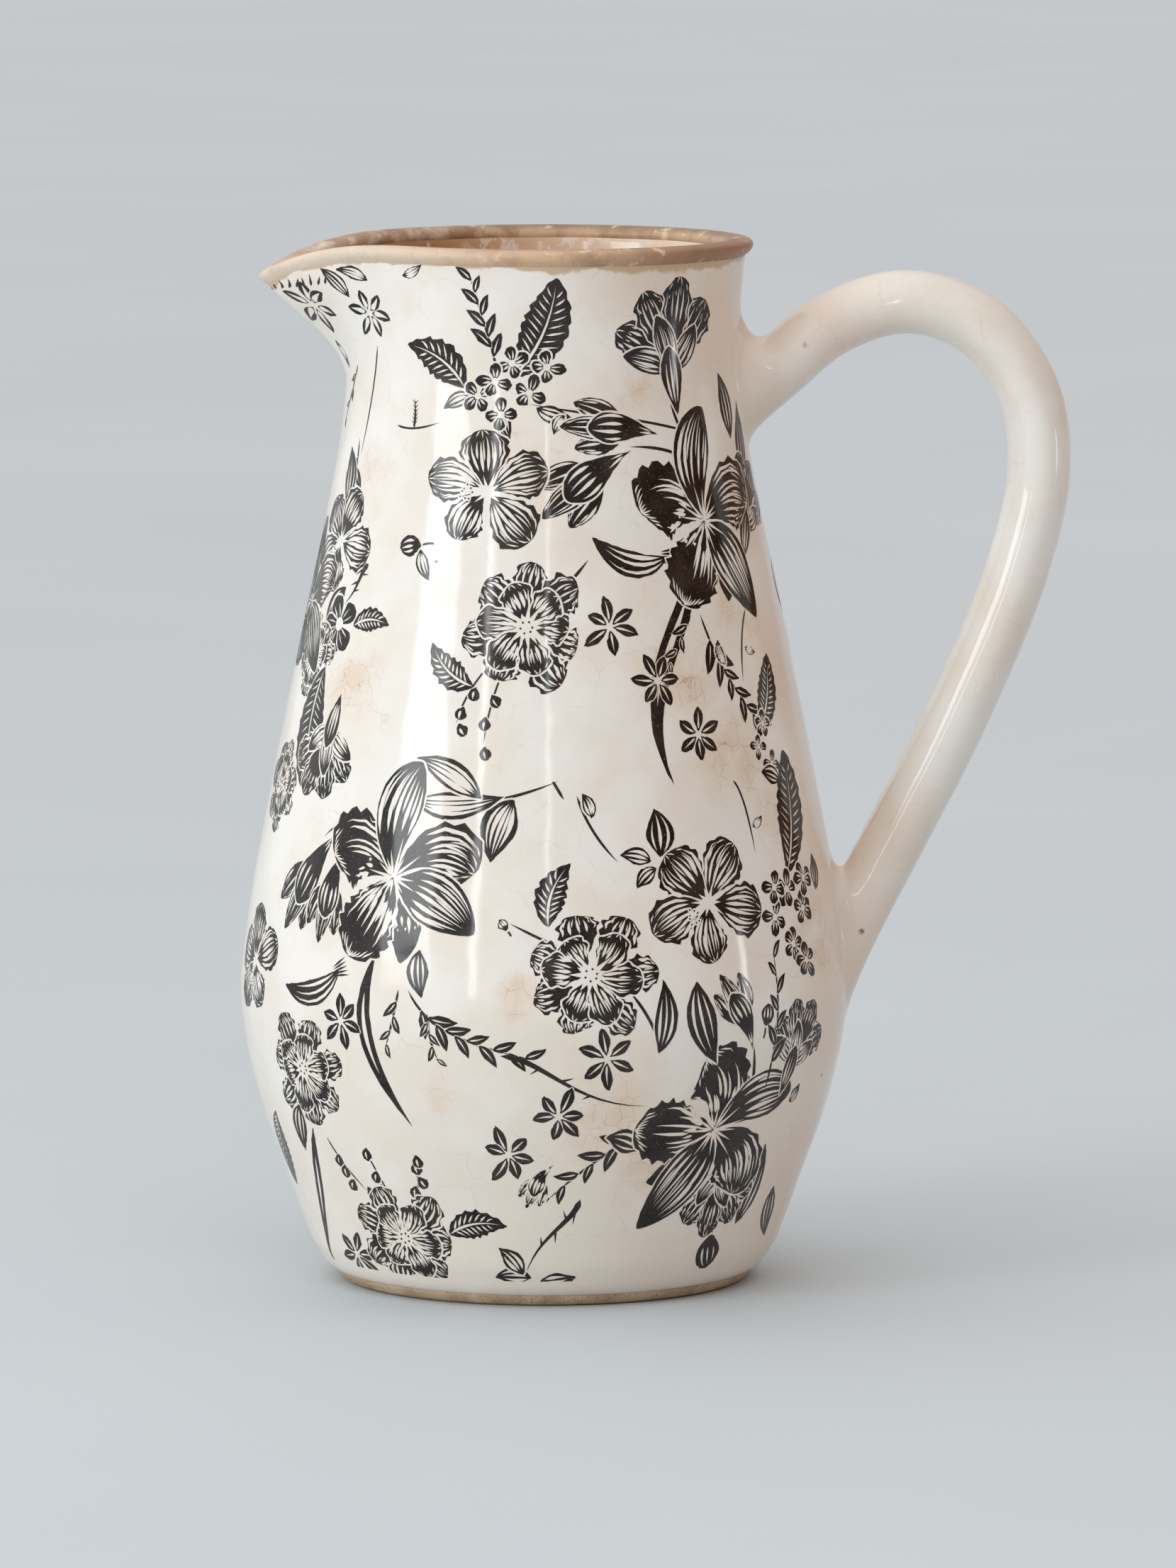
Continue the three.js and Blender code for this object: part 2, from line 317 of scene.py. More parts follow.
def path_points(count):
    """Evenly spaced points and directions on a smooth centripetal curve through HANDLE_PATH."""
    knots = np.array([(x, 0, z) for x, z in HANDLE_PATH], float)
    ends = (2 * knots[0] - knots[1], 2 * knots[-1] - knots[-2])
    knots = np.vstack([ends[0], knots, ends[1]])
    route = []
    for i in range(len(knots) - 3):
        p0, p1, p2, p3 = knots[i:i + 4]
        t1 = np.linalg.norm(p1 - p0) ** 0.5
        t2 = t1 + np.linalg.norm(p2 - p1) ** 0.5
        t3 = t2 + np.linalg.norm(p3 - p2) ** 0.5
        for t in np.linspace(t1, t2, 40, endpoint=False):
            a1 = p0 + (p1 - p0) * t / t1
            a2 = p1 + (p2 - p1) * (t - t1) / (t2 - t1)
            a3 = p2 + (p3 - p2) * (t - t2) / (t3 - t2)
            b1 = a1 + (a2 - a1) * t / t2
            b2 = a2 + (a3 - a2) * (t - t1) / (t3 - t1)
            route.append(b1 + (b2 - b1) * (t - t1) / (t2 - t1))
    route = np.array(route + [knots[-2]])
    length = np.concatenate([[0], np.cumsum(np.linalg.norm(np.diff(route, axis=0), axis=1))])
    wanted = np.linspace(0, length[-1], count)
    centres = np.stack([np.interp(wanted, length, route[:, i]) for i in range(3)], axis=1)
    tangents = np.gradient(centres, axis=0)
    return centres, tangents / np.linalg.norm(tangents, axis=1)[:, None]


def bar_ring(centre, tangent):
    """Oval section of the bar. Its first point is on the outer side of the loop."""
    turn = np.linspace(0, 2 * math.pi, HANDLE_SIDES, endpoint=False)[:, None]
    outward = np.cross(tangent, (0, 1, 0))
    return (centre + HANDLE_HALF_THICKNESS * np.cos(turn) * outward
            + HANDLE_HALF_WIDTH * np.sin(turn) * np.array((0, 1, 0)))


def wall_ring(joint, spread, depth):
    """Ring on the wall round a joint, scaled by spread and sunk by depth."""
    turn = np.linspace(0, 2 * math.pi, HANDLE_SIDES, endpoint=False)
    height = joint["height"] + joint["sign"] * joint["rise"] * spread * np.cos(turn)
    radius = outer_radius(height)
    angle = math.pi + joint["reach"] * spread * np.sin(turn) / radius
    return polar(angle, radius - depth, height)


def blend_rings(joint, free_ring, towards_bar):
    """Rings that leave the wall along its surface and curve into the free bar."""
    start = wall_ring(joint, 1.0, 0.06)
    along_wall = wall_ring(joint, 0.72, 0.0)
    pull = BLEND_PULL * np.linalg.norm(free_ring - start, axis=1)[:, None]
    end_pull = free_ring - towards_bar * pull
    rings = []
    for t in np.linspace(0, 1, BLEND_RINGS, endpoint=False):
        rings.append((1 - t) ** 3 * start + 3 * (1 - t) ** 2 * t * along_wall
                     + 3 * (1 - t) * t**2 * end_pull + t**3 * free_ring)
    return [wall_ring(joint, 0.9, 2.5)] + rings


def make_handle(material):
    """The loop and both its blends into the wall, as one closed tube sunk in the wall at its ends."""
    centres, tangents = path_points(PATH_STEPS)
    first = int(UPPER_JOINT["start"] * (PATH_STEPS - 1))
    last = int(LOWER_JOINT["start"] * (PATH_STEPS - 1))
    stations = np.linspace(first, last, HANDLE_RINGS).astype(int)
    bar = [bar_ring(centres[i], tangents[i]) for i in stations]
    upper = blend_rings(UPPER_JOINT, bar[0], tangents[first])
    lower = blend_rings(LOWER_JOINT, bar[-1], -tangents[last])
    rings = upper + bar + lower[::-1]
    points = np.array(rings).reshape(-1, 3)
    faces = [face[::-1] for face in strips(len(rings), HANDLE_SIDES, looped=False)]
    end = len(points) - HANDLE_SIDES
    faces.append(tuple(range(HANDLE_SIDES)))
    faces.append(tuple(reversed(range(end, end + HANDLE_SIDES))))
    handle = mesh_object("loop_handle", points, faces, material)
    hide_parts("handle", "upper_lute", "lower_lute")


# ---------------------------------------------------------------- drawing on a flat sheet
#
# A drawing is a list of shapes. Each shape is a closed outline in millimetres, with True for ink or
# False for bare glaze, and a later shape covers the earlier ones. Drawings grow upwards, along +Y.

HALO = 0.55  # bare gap round a shape that lies over another
CUT = 0.34  # half-width of a cut line at its widest
ROUGH_EDGE = 0.07  # how far the edge of a shape strays
chance = np.random.default_rng(11)


def bezier(points, share):
    """Points on the Bezier curve with these control points, at shares from 0 to 1 along it."""
    share = np.atleast_1d(share)[:, None]
    layer = [np.asarray(point, float) for point in points]
    while len(layer) > 1:
        layer = [(1 - share) * near + share * far for near, far in zip(layer, layer[1:])]
    return layer[0]


def curve(points, count):
    """Evenly shared points along the whole Bezier curve."""
    return bezier(points, np.linspace(0, 1, count))


def stroke(line, half_width, taper):
    """Outline of a line cut with a tool that bites in and lifts out over these shares of it."""
    share = np.linspace(0, 1, len(line))
    width = np.minimum(share / taper[0], 1) ** 0.6 * np.minimum((1 - share) / taper[1], 1) ** 0.8
    ahead = np.gradient(line, axis=0)
    ahead /= np.linalg.norm(ahead, axis=1)[:, None] + 1e-9
    side = np.stack([-ahead[:, 1], ahead[:, 0]], axis=1) * (half_width * width)[:, None]
    return np.concatenate([line - side, (line + side)[-2:0:-1]])


def disc(centre, radius, corners):
    turn = np.linspace(0, 2 * math.pi, corners, endpoint=False)
    return np.asarray(centre) + radius * np.stack([np.cos(turn), np.sin(turn)], axis=1)


def spiky(radius, hollow, spikes):
    """Star outline with uneven spikes, for the bare heart of a flower."""
    turn = np.linspace(0, 2 * math.pi, 2 * spikes, endpoint=False)
    reach = np.where(np.arange(2 * spikes) % 2, hollow, radius * chance.uniform(0.55, 1.15, 2 * spikes))
    return reach[:, None] * np.stack([np.cos(turn), np.sin(turn)], axis=1)


class Blade:
    """A petal, leaf or pod: a curved spine whose half-width swells and closes along it."""

    def __init__(self, spine, half_width, widest, blunt=0.7, ruffle=0.0, waves=5):
        self.spine = spine
        self.half_width = half_width
        self.power = math.log(0.5) / math.log(widest)
        self.blunt = blunt
        self.ruffle = ruffle
        self.waves = waves
        self.phase = chance.uniform(0, 6)

    def at(self, along, across):
        """Points at shares of the spine's length and of the half-width to its left."""
        along, across = np.broadcast_arrays(np.clip(np.atleast_1d(along), 0, 1), across)
        ahead = bezier(self.spine, along + 0.02) - bezier(self.spine, along - 0.02)
        ahead /= np.linalg.norm(ahead, axis=1)[:, None]
        width = self.half_width * np.sin(math.pi * along**self.power).clip(0) ** self.blunt
        wave = np.sin(2 * math.pi * self.waves * along + self.phase + 2 * np.sign(across))
        width = width * (1 + self.ruffle * wave * np.minimum(2 * along, 1) * np.abs(across) ** 3) * across
        return bezier(self.spine, along) + width[:, None] * np.stack([-ahead[:, 1], ahead[:, 0]], axis=1)

    def outline(self, margin, steps):
        """The blade's closed outline, grown by a margin."""
        along = (1 - np.cos(np.linspace(0, math.pi, steps))) / 2
        line = np.concatenate([self.at(along, -1.0), self.at(along, 1.0)[-2:0:-1]])
        ahead = np.roll(line, -1, axis=0) - np.roll(line, 1, axis=0)
        ahead /= np.linalg.norm(ahead, axis=1)[:, None] + 1e-9
        return line + margin * np.stack([ahead[:, 1], -ahead[:, 0]], axis=1)

    def body(self, steps=22, halo=HALO):
        """The blade in ink with a slightly rough edge, over a bare halo."""
        edge = self.outline(0.0, steps)
        rough = edge + chance.normal(0, ROUGH_EDGE, edge.shape)
        return [(self.outline(halo, steps), False), (rough, True)]

    def cuts(self, count, start, end, spread=0.8, width=CUT, uneven=0.12, taper=(0.3, 0.6)):
        """Bare lines that fan out along the blade from its base."""
        shapes = []
        for across in np.linspace(-spread, spread, count):
            first = start + uneven * chance.uniform(0, 0.5)
            last = end - uneven * chance.uniform(0, 1) - 0.10 * abs(across)
            sideways = across + chance.uniform(-0.07, 0.07, 2)
            line = self.at(np.linspace(first, last, 7), np.linspace(*sideways, 7))
            shapes.append((stroke(line, width * chance.uniform(0.7, 1.25), taper), False))
        return shapes

    def midrib(self, start, end, width):
        """One bare line along the middle of the blade."""
        return [(stroke(self.at(np.linspace(start, end, 9), 0.0), width, (0.2, 0.7)), False)]

    def ribs(self, count, start, end, lean, width=0.3):
        """Bare lines from the midrib out to both edges, as in a feathery leaf."""
        shapes = []
        for along in np.linspace(start, end - lean, count):
            for side in (-1, 1):
                across = side * np.linspace(0.12, 0.86 * chance.uniform(0.8, 1.05), 4)
                line = self.at(along + lean * np.abs(across), across)
                shapes.append((stroke(line, width * chance.uniform(0.7, 1.1), (0.15, 0.5)), False))
        return shapes

    def nicks(self, count, depth=0.14, width=0.22):
        """Short bare lines that run in from the far edge."""
        shapes = []
        for across in np.linspace(-0.75, 0.75, count):
            last = 1.02 - 0.16 * across**2
            line = self.at(np.linspace(last - depth * chance.uniform(0.6, 1.3), last, 4), across)
            shapes.append((stroke(line, width, (0.6, 0.1)), False))
        return shapes


def placed(drawing, move=(0, 0), turn=0.0, size=1.0, mirrored=False):
    """The drawing turned anticlockwise by degrees, scaled and moved. A mirrored one is flipped first."""
    cosine = math.cos(math.radians(turn)) * size
    sine = math.sin(math.radians(turn)) * size
    shapes = []
    for line, ink in drawing:
        x, y = line[:, 0] * (-1 if mirrored else 1), line[:, 1]
        shapes.append((np.stack([cosine * x - sine * y, sine * x + cosine * y], axis=1) + move, ink))
    return shapes


# ---------------------------------------------------------------- flowers

def petal(spine, half_width, cuts=6, start=0.12, end=0.85, width=CUT, nicks=0, **shape):
    """Petal with long cuts from its base, a shorter one between each two, and a nicked edge."""
    blade = Blade(spine, half_width, **shape)
    long_cuts = blade.cuts(cuts, start + chance.uniform(0, 0.22), end, width=width)
    short_cuts = blade.cuts(cuts - 1, start + 0.35, end, 0.8 - 0.8 / cuts, 0.6 * width)
    return blade.body() + long_cuts + short_cuts + blade.nicks(nicks)


def star(radius=8.0, cut=0.04):
    """Small flower of six narrow pointed petals round a bare heart."""
    shapes = []
    for k in range(6):
        length = radius * chance.uniform(0.82, 1.12)
        blade = Blade([(0, 0.9), (chance.uniform(-1, 1), 0.5 * length), (0, length)], 0.2 * radius,
                      widest=0.58, blunt=0.8)
        one = blade.body(12, 0.3) + blade.midrib(0.1, 0.88, cut * radius)
        shapes += placed(one, turn=60 * k + chance.uniform(-9, 9))
    return shapes + [(spiky(0.24 * radius, 0.12 * radius, 6), False)]


def mallow(radius):
    """Open flower with five loose ruffled petals and a column of stamens."""
    shapes = []
    for k, turn in enumerate((8, 80, 148, 224, 290)):
        length = radius * (1.0 + 0.1 * math.sin(2.3 * k))
        half_width = radius * (0.37 + 0.05 * math.cos(1.9 * k))
        one = petal([(0, 1), (3 * math.sin(k), 0.5 * length), (0, length)], half_width, cuts=6, end=0.97,
                    width=0.52, nicks=5, widest=0.68, blunt=0.55, ruffle=0.08, waves=5)
        shapes += placed(one, turn=turn)
    shapes.append((spiky(0.34 * radius, 0.1 * radius, 10), False))
    column = curve([(0, 0), (-0.2 * radius, 0.05 * radius), (-0.5 * radius, 0.02 * radius)], 6)
    shapes.append((stroke(column, 0.9, (0.1, 0.2)), False))
    for k in range(8):
        spot = (-0.26 * radius - 0.5 * k, 0.12 * radius * math.sin(2.6 * k))
        shapes.append((disc(spot, 0.75, 8), False))
        shapes.append((disc(spot, 0.28, 6), True))
    return shapes


def peony(radius):
    """Full flower: two rings of crumpled petals round a spiky heart."""
    shapes = []
    for k in range(7):
        length = radius * chance.uniform(0.82, 1.1)
        spine = [(0, 0.3 * radius), (chance.uniform(-2.5, 2.5), 0.7 * radius), (0, length)]
        one = petal(spine, radius * chance.uniform(0.24, 0.33), cuts=5, start=0.3, end=1.0, width=0.42,
                    nicks=3, widest=0.6, blunt=0.5, ruffle=0.14, waves=4)
        shapes += placed(one, turn=51 * k + chance.uniform(-9, 9))
    for k in range(6):
        length = radius * chance.uniform(0.58, 0.8)
        spine = [(0, 0.05 * radius), (chance.uniform(-2, 2), 0.4 * radius), (0, length)]
        one = petal(spine, 0.24 * radius, cuts=5, start=0.1, end=0.85, width=0.44, nicks=4, widest=0.68,
                    blunt=0.5, ruffle=0.12, waves=3)
        shapes += placed(one, turn=60 * k + 20 + chance.uniform(-12, 12))
    shapes.append((spiky(0.38 * radius, 0.15 * radius, 13), False))
    for k in range(6):
        spot = 0.09 * radius * np.array((math.cos(k * 1.1), math.sin(k * 1.1)))
        shapes.append((disc(spot, 0.32, 6), True))
    return shapes


def lip(spine, half_width):
    """Dark ruffled lip of an orchid, with combed cuts from its throat and a nicked edge."""
    blade = Blade(spine, half_width, widest=0.66, blunt=0.52, ruffle=0.1, waves=8)
    combed = blade.cuts(12, 0.14, 0.88, 0.9, width=0.44, uneven=0.5, taper=(0.15, 0.5))
    return blade.body(34) + combed + blade.nicks(11, 0.13, 0.26)


def orchid_tail(points, half_width=2.9):
    """Long curving blade, bare along its middle, that hangs below a flower."""
    blade = Blade(points, half_width, widest=0.42, blunt=0.85)
    middle = bezier(points, np.linspace(0.2, 0.72, 12))
    return blade.body(26) + [(stroke(middle, 0.34 * half_width, (0.5, 0.5)), False)]


def side_pod(length):
    """Curved pod with a fringed base."""
    spine = [(0, 0), (-5, 0.35 * length), (-4, 0.65 * length), (3, length)]
    blade = Blade(spine, 3.6, widest=0.5, blunt=0.75)
    shapes = blade.body() + blade.cuts(3, 0.02, 0.93, 0.6, 0.6)
    for across in np.linspace(-2, 2, 5):
        fringe = curve([(0.6 * across, 2.0), (0.9 * across, -0.5), (1.3 * across, -3.2)], 5)
        shapes.append((stroke(fringe, 0.32, (0.5, 0.5)), True))
    return shapes


def orchid(low_petal=((1, -1), (8, -7), (17, -26))):
    """Large flower with an upright and a low striped petal, a wide one and two dark lips."""
    shapes = petal([(3, -4), (7, -11), (5, -21)], 4.2, 4, end=0.65, width=0.5, widest=0.5)
    shapes += petal([(1, 0), (13, 10), (22, 3)], 9.2, 9, start=0.2, end=0.97, width=0.5, nicks=6,
                    widest=0.62, blunt=0.52, ruffle=0.07, waves=6)
    shapes += lip([(0, 0), (-10, 10), (-20, 3)], 9.8)
    shapes += lip([(0, 0), (-4, -9), (-11, -21)], 8.4)
    shapes += petal(low_petal, 6.8, 6, end=0.97, width=0.5, widest=0.52)
    shapes += petal([(0, 1), (-5, 16), (4, 29)], 6.4, 5, end=0.99, width=0.56, widest=0.6, blunt=0.6)
    for k in range(17):
        turn = math.radians(21 * k + chance.uniform(-7, 7))
        reach = chance.uniform(5, 11)
        line = np.linspace(0.3, reach, 5)[:, None] * (math.cos(turn), math.sin(turn))
        shapes.append((stroke(line, 0.42, (0.1, 0.8)), False))
    return shapes


def lily(size):
    """Flared flower seen from the side, its petals rising from a narrow throat."""
    shapes = []
    for turn, length, half_width in ((42, 1.05, 0.24), (-38, 1.15, 0.3), (14, 1.2, 0.26), (-12, 1.3, 0.25)):
        spine = [(0, 0), (0.03 * size, 0.5 * size * length), (-0.003 * turn * size, size * length)]
        one = petal(spine, half_width * size, 5, start=0.4, end=0.97, width=0.36, nicks=4, widest=0.74,
                    blunt=0.55, ruffle=0.14, waves=5)
        shapes += placed(one, turn=turn)
    for turn, length in ((58, 0.8), (-52, 0.75), (4, 0.8)):
        spine = [(0, -0.1 * size), (0.05 * size, 0.3 * size), (-0.1 * size, size * length)]
        one = petal(spine, 0.17 * size, 4, end=0.95, width=0.42, widest=0.6)
        shapes += placed(one, turn=turn)
    throat = Blade([(0, -0.6 * size), (0, -0.1 * size), (0, 0.34 * size)], 0.18 * size, widest=0.6)
    return shapes + throat.body() + throat.cuts(3, 0.12, 0.95, 0.5, 0.4)


def trumpet(length):
    """Long closed flower with a frayed mouth."""
    shapes = []
    for turn, reach in ((-15, 1.0), (13, 0.96), (0, 1.1)):
        spine = [(0, 0.45 * length), (1, 0.7 * length), (0, reach * length)]
        one = petal(spine, 0.12 * length, 3, start=0.2, end=0.97, width=0.36, nicks=2, widest=0.5)
        shapes += placed(one, turn=turn)
    tube = Blade([(0, 0), (2.2, 0.4 * length), (0, 0.8 * length)], 0.16 * length, widest=0.7, blunt=0.65)
    return shapes + tube.body() + tube.cuts(4, 0.5, 1.0, 0.75, 0.45) + tube.cuts(2, 0.06, 0.4, 0.4, 0.3)


def blossom(radius):
    """Tight little flower of four or five dark petals."""
    count = int(chance.integers(4, 6))
    shapes = []
    for k in range(count):
        blade = Blade([(0, 0.3), (0.6, 0.6 * radius), (0, radius * chance.uniform(0.8, 1.15))],
                      0.34 * radius, widest=0.62, blunt=0.6)
        one = blade.body(12) + blade.cuts(2, 0.1, 0.8, 0.4, 0.28)
        shapes += placed(one, turn=360 / count * k + chance.uniform(-14, 14))
    return shapes + [(disc((0, 0), 0.22 * radius, 8), False)]


# ---------------------------------------------------------------- leaves, stems and buds

def leaf(length, half_width, cuts=3, width=0.45):
    """Plain pointed leaf with a few long cuts."""
    spine = [(0, 0), (0.15 * length, 0.5 * length), (0, length)]
    blade = Blade(spine, half_width, widest=0.45, blunt=1.0)
    return blade.body(16) + blade.cuts(cuts, 0.08, 0.92, 0.55, width)


def feather(length):
    """Fern-like leaf with a bare midrib and combed ribs."""
    blade = Blade([(0, 0), (0.2 * length, 0.45 * length), (0.04 * length, length)], 0.21 * length,
                  widest=0.55, blunt=0.7, ruffle=0.08, waves=9)
    return blade.body(40) + blade.midrib(0.0, 0.95, 0.45) + blade.ribs(12, 0.08, 0.94, lean=0.12)


def toothed(length):
    """Leaf with a saw edge and a few ribs."""
    blade = Blade([(0, 0), (-0.2 * length, 0.5 * length), (0.1 * length, length)], 0.23 * length,
                  widest=0.45, blunt=0.9, ruffle=0.14, waves=7)
    return blade.body(32) + blade.midrib(0.0, 0.92, 0.4) + blade.ribs(7, 0.1, 0.85, lean=0.18, width=0.34)


def vine(points, half_width=0.34, taper=(0.1, 0.3)):
    """A thin inked stem."""
    return [(stroke(curve(points, 4 * len(points)), half_width, taper), True)]


def sprig(points, leaves, length):
    """Stem with narrow leaves to either side, smaller towards its tip."""
    shapes = vine(points)
    for k in range(leaves):
        share = 0.2 + 0.75 * k / max(leaves - 1, 1)
        place = bezier(points, share)[0]
        ahead = place - bezier(points, share - 0.05)[0]
        heading = math.degrees(math.atan2(ahead[1], ahead[0])) - 90
        size = length * (1 - 0.35 * share) * chance.uniform(0.85, 1.15)
        blade = Blade([(0, 0), (0.12 * size, 0.5 * size), (0, size)], 0.19 * size, widest=0.45, blunt=0.9)
        one = blade.body(9, 0.25) + blade.midrib(0.12, 0.8, 0.24)
        shapes += placed(one, place, heading + (34 if k % 2 else -34), mirrored=k % 2 == 0)
    return shapes


def bells(points, count):
    """Thin stem hung with small bell-shaped buds."""
    shapes = vine(points, 0.26)
    for k in range(count):
        place = bezier(points, 0.3 + 0.7 * k / max(count - 1, 1))[0] + chance.uniform(-1.2, 1.2, 2)
        blade = Blade([(0, 0), (0.3, 1.8), (0, 3.8)], 1.7, widest=0.62, blunt=0.6)
        one = blade.body(12, 0.3) + blade.cuts(1, 0.3, 1.0, 0.2, 0.36)
        shapes += placed(one, place, turn=180 + chance.uniform(-35, 35))
    return shapes


def twig(length):
    """Woody twig with short thorns."""
    points = length * np.array([(0, 0), (0.25, 0.12), (0.55, -0.1), (1, 0.1)])
    shapes = [(stroke(curve(points, 14), 0.9, (0.02, 1.0)), True)]
    for share, turn, reach in ((0.15, 30, 4.4), (0.32, -120, 3.0), (0.5, 40, 3.6), (0.7, -130, 2.4)):
        base = bezier(points, share)[0]
        heading = np.array((math.cos(math.radians(turn)), math.sin(math.radians(turn))))
        thorn = [base, base + reach / 2 * heading + (0.3, 0.2), base + reach * heading]
        shapes += vine(thorn, 0.4, (0.05, 1.0))
    return shapes


def thorny(length):
    """Thin stem with a bristly upright shoot."""
    shapes = vine([(0, 0), (0.4 * length, -0.12 * length), (length, 0.1 * length)], 0.28)
    shoot = [(0.42 * length, -0.03 * length), (0.45 * length, 0.2 * length), (0.4 * length, 0.5 * length)]
    shapes += vine(shoot, 0.36, (0.1, 0.6))
    for share in np.linspace(0.15, 0.85, 6):
        place = bezier(shoot, share)[0]
        for side in (-1, 1):
            shapes += vine([place, place + (0.5 * side, 0.5), place + (1.0 * side, 1.1)], 0.16, (0.05, 0.9))
    return shapes


def bud(size):
    """Round bud on a short stem."""
    blade = Blade([(0, 0), (0.15 * size, 0.5 * size), (0, size)], 0.42 * size, widest=0.55, blunt=0.6)
    stem = vine([(0, -0.6 * size), (0.1 * size, -0.3 * size), (0, 0)], 0.3)
    return stem + blade.body(16) + blade.cuts(3, 0.3, 1.0, 0.5, 0.36)


# ---------------------------------------------------------------- arrangement of the print
#
# Each entry is a place, as degrees round from the front towards the handle and a height, then a
# drawing and the degrees by which it is turned. Later entries lie over earlier ones.

def neck_spray():
    """Two large leaves, a sprig and a cluster of small blossoms below the rim."""
    entries = [
        (-9, 255, feather(30), -22),
        (-23, 252, placed(toothed(22), mirrored=True), 54),
        (-13, 256, sprig([(0, 0), (-3, 11), (-8, 27)], 8, 8.0), 0),
        (-21, 250, leaf(9, 2.2), 115),
        (-2, 247, leaf(10, 2.4), -105),
        (-12, 246, leaf(8, 2.2), 200),
        (6, 245, leaf(6, 1.6), 150),
        (-46, 241, thorny(15), 0),
    ]
    for azimuth, height in ((-19, 250), (-9, 259), (-4, 251), (1, 258), (-12, 245), (-14, 254)):
        entries.append((azimuth, height, blossom(4.8), 7 * azimuth))
    return entries


def orchid_spray():
    """Orchid by the handle with a lily above it, trumpets to its left and stars below."""
    return [
        (46, 239, vine([(0, 0), (-18, 5), (-32, 6), (-48, 9)]), 0),
        (45, 231, vine([(0, 0), (-8, 5), (-20, 5)], 0.42), 0),
        (40, 240, vine([(4, -4), (1, 2), (-1, 8)], 0.42), 0),
        (34, 239, trumpet(26), 84),
        (25, 235, trumpet(29), 124),
        (40, 256, lily(20), 8),
        (66, 236, leaf(19, 3.6), 14),
        (70, 224, leaf(22, 4.2), -10),
        (66, 212, lily(17), -28),
        (33, 206, side_pod(22), 82),
        (47, 215, orchid_tail([(-8, -12), (-9, -26), (-34, -42), (-24, -70)]), 0),
        (41, 190, sprig([(0, 0), (3, -12), (9, -22), (20, -32)], 10, 9.0), 0),
        (38, 190, sprig([(0, 0), (-4, -6), (-9, -13)], 4, 6.0), 0),
        (47, 215, placed(orchid(), size=1.06), 0),
        (16, 188, star(), 10),
        (27, 173, star(), 30),
        (36, 158, star(8.2), 0),
        (55, 157, feather(23), -26),
        (58, 190, vine([(0, 0), (-5, -6), (-7, -19)], 0.3), 0),
        (55, 180, leaf(5, 1.2), -110),
        (47, 176, toothed(7), 20),
        (57, 159, blossom(3.8), 0),
        (54, 153, blossom(3.4), 0),
        (58, 148, blossom(3.8), 0),
        (60, 143, leaf(9, 2.6), 70),
        (44, 145, vine([(0, 0), (4, -4), (5, -20)], 0.3), 0),
        (48, 132, leaf(5, 1.3), -60),
    ]


def mallow_and_peony():
    """Mallow and peony in the middle of the front, with buds hanging below."""
    return [
        (-33, 209, bud(7), 100),
        (-33, 208, leaf(9, 2.0), 205),
        (-15, 224, mallow(17), 0),
        (-16, 172, toothed(17), 54),
        (-9, 177, bells([(0, 0), (-4, -10), (-5, -20)], 3), 0),
        (-13, 177, bells([(0, 0), (-6, -7), (-8, -15)], 3), 0),
        (4, 198, vine([(-3, -4), (4, 3), (8, 8)], 0.42), 0),
        (-4, 188, peony(18), 0),
        (-50, 203, placed(twig(14), mirrored=True), 60),
    ]


def spout_spray(side):
    """Outlined stars and a sprig on one flank of the spout, side 1 at the front and -1 at the back.

    The degrees of these entries count from the tip of the spout.
    """
    entries = [
        (11, 272, star(7.2, 0.10), 0),
        (31, 271, star(7.6, 0.10), 24),
        (33, 262, vine([(0, 0), (-1, -10), (-5, -30)], 0.28), 0),
        (33, 280, leaf(10, 1.8), 75),
        (25, 275, leaf(10, 2.2), 40),
        (46, 282, leaf(8, 1.4), -65),
        (8, 262, leaf(8, 1.6), 200),
        (20, 256, sprig([(0, 0), (-3, -6), (-9, -16)], 4, 5.0), 0),
    ]
    for k in range(9):
        line = [(0, 0), (chance.uniform(0.5, 1.5), 1.0), (chance.uniform(0, 2), chance.uniform(2, 3.4))]
        entries.append((2.2 * k + 1, 275.5 + 0.35 * k, vine(line, 0.3, (0.3, 0.6)), 0))
    return [(side * angle - 90, height, placed(drawing, mirrored=side < 0), side * turn)
            for angle, height, drawing, turn in entries]


def spout_column():
    """Dense column of flowers down the wall under the spout."""
    return [
        (-64, 236, sprig([(0, 0), (-1, 12), (-2, 26)], 8, 8.5), 180),
        (-66, 218, leaf(16, 3.4), 10),
        (-65, 208, mallow(15), 40),
        (-58, 196, leaf(15, 3.4), 150),
        (-58, 186, blossom(9), 20),
        (-52, 186, toothed(14), -80),
        (-68, 176, peony(12), 15),
        (-61, 174, feather(34), 183),
        (-54, 158, lily(16), 168),
        (-74, 140, peony(13), 80),
        (-80, 190, placed(orchid(), size=0.8), 10),
    ]


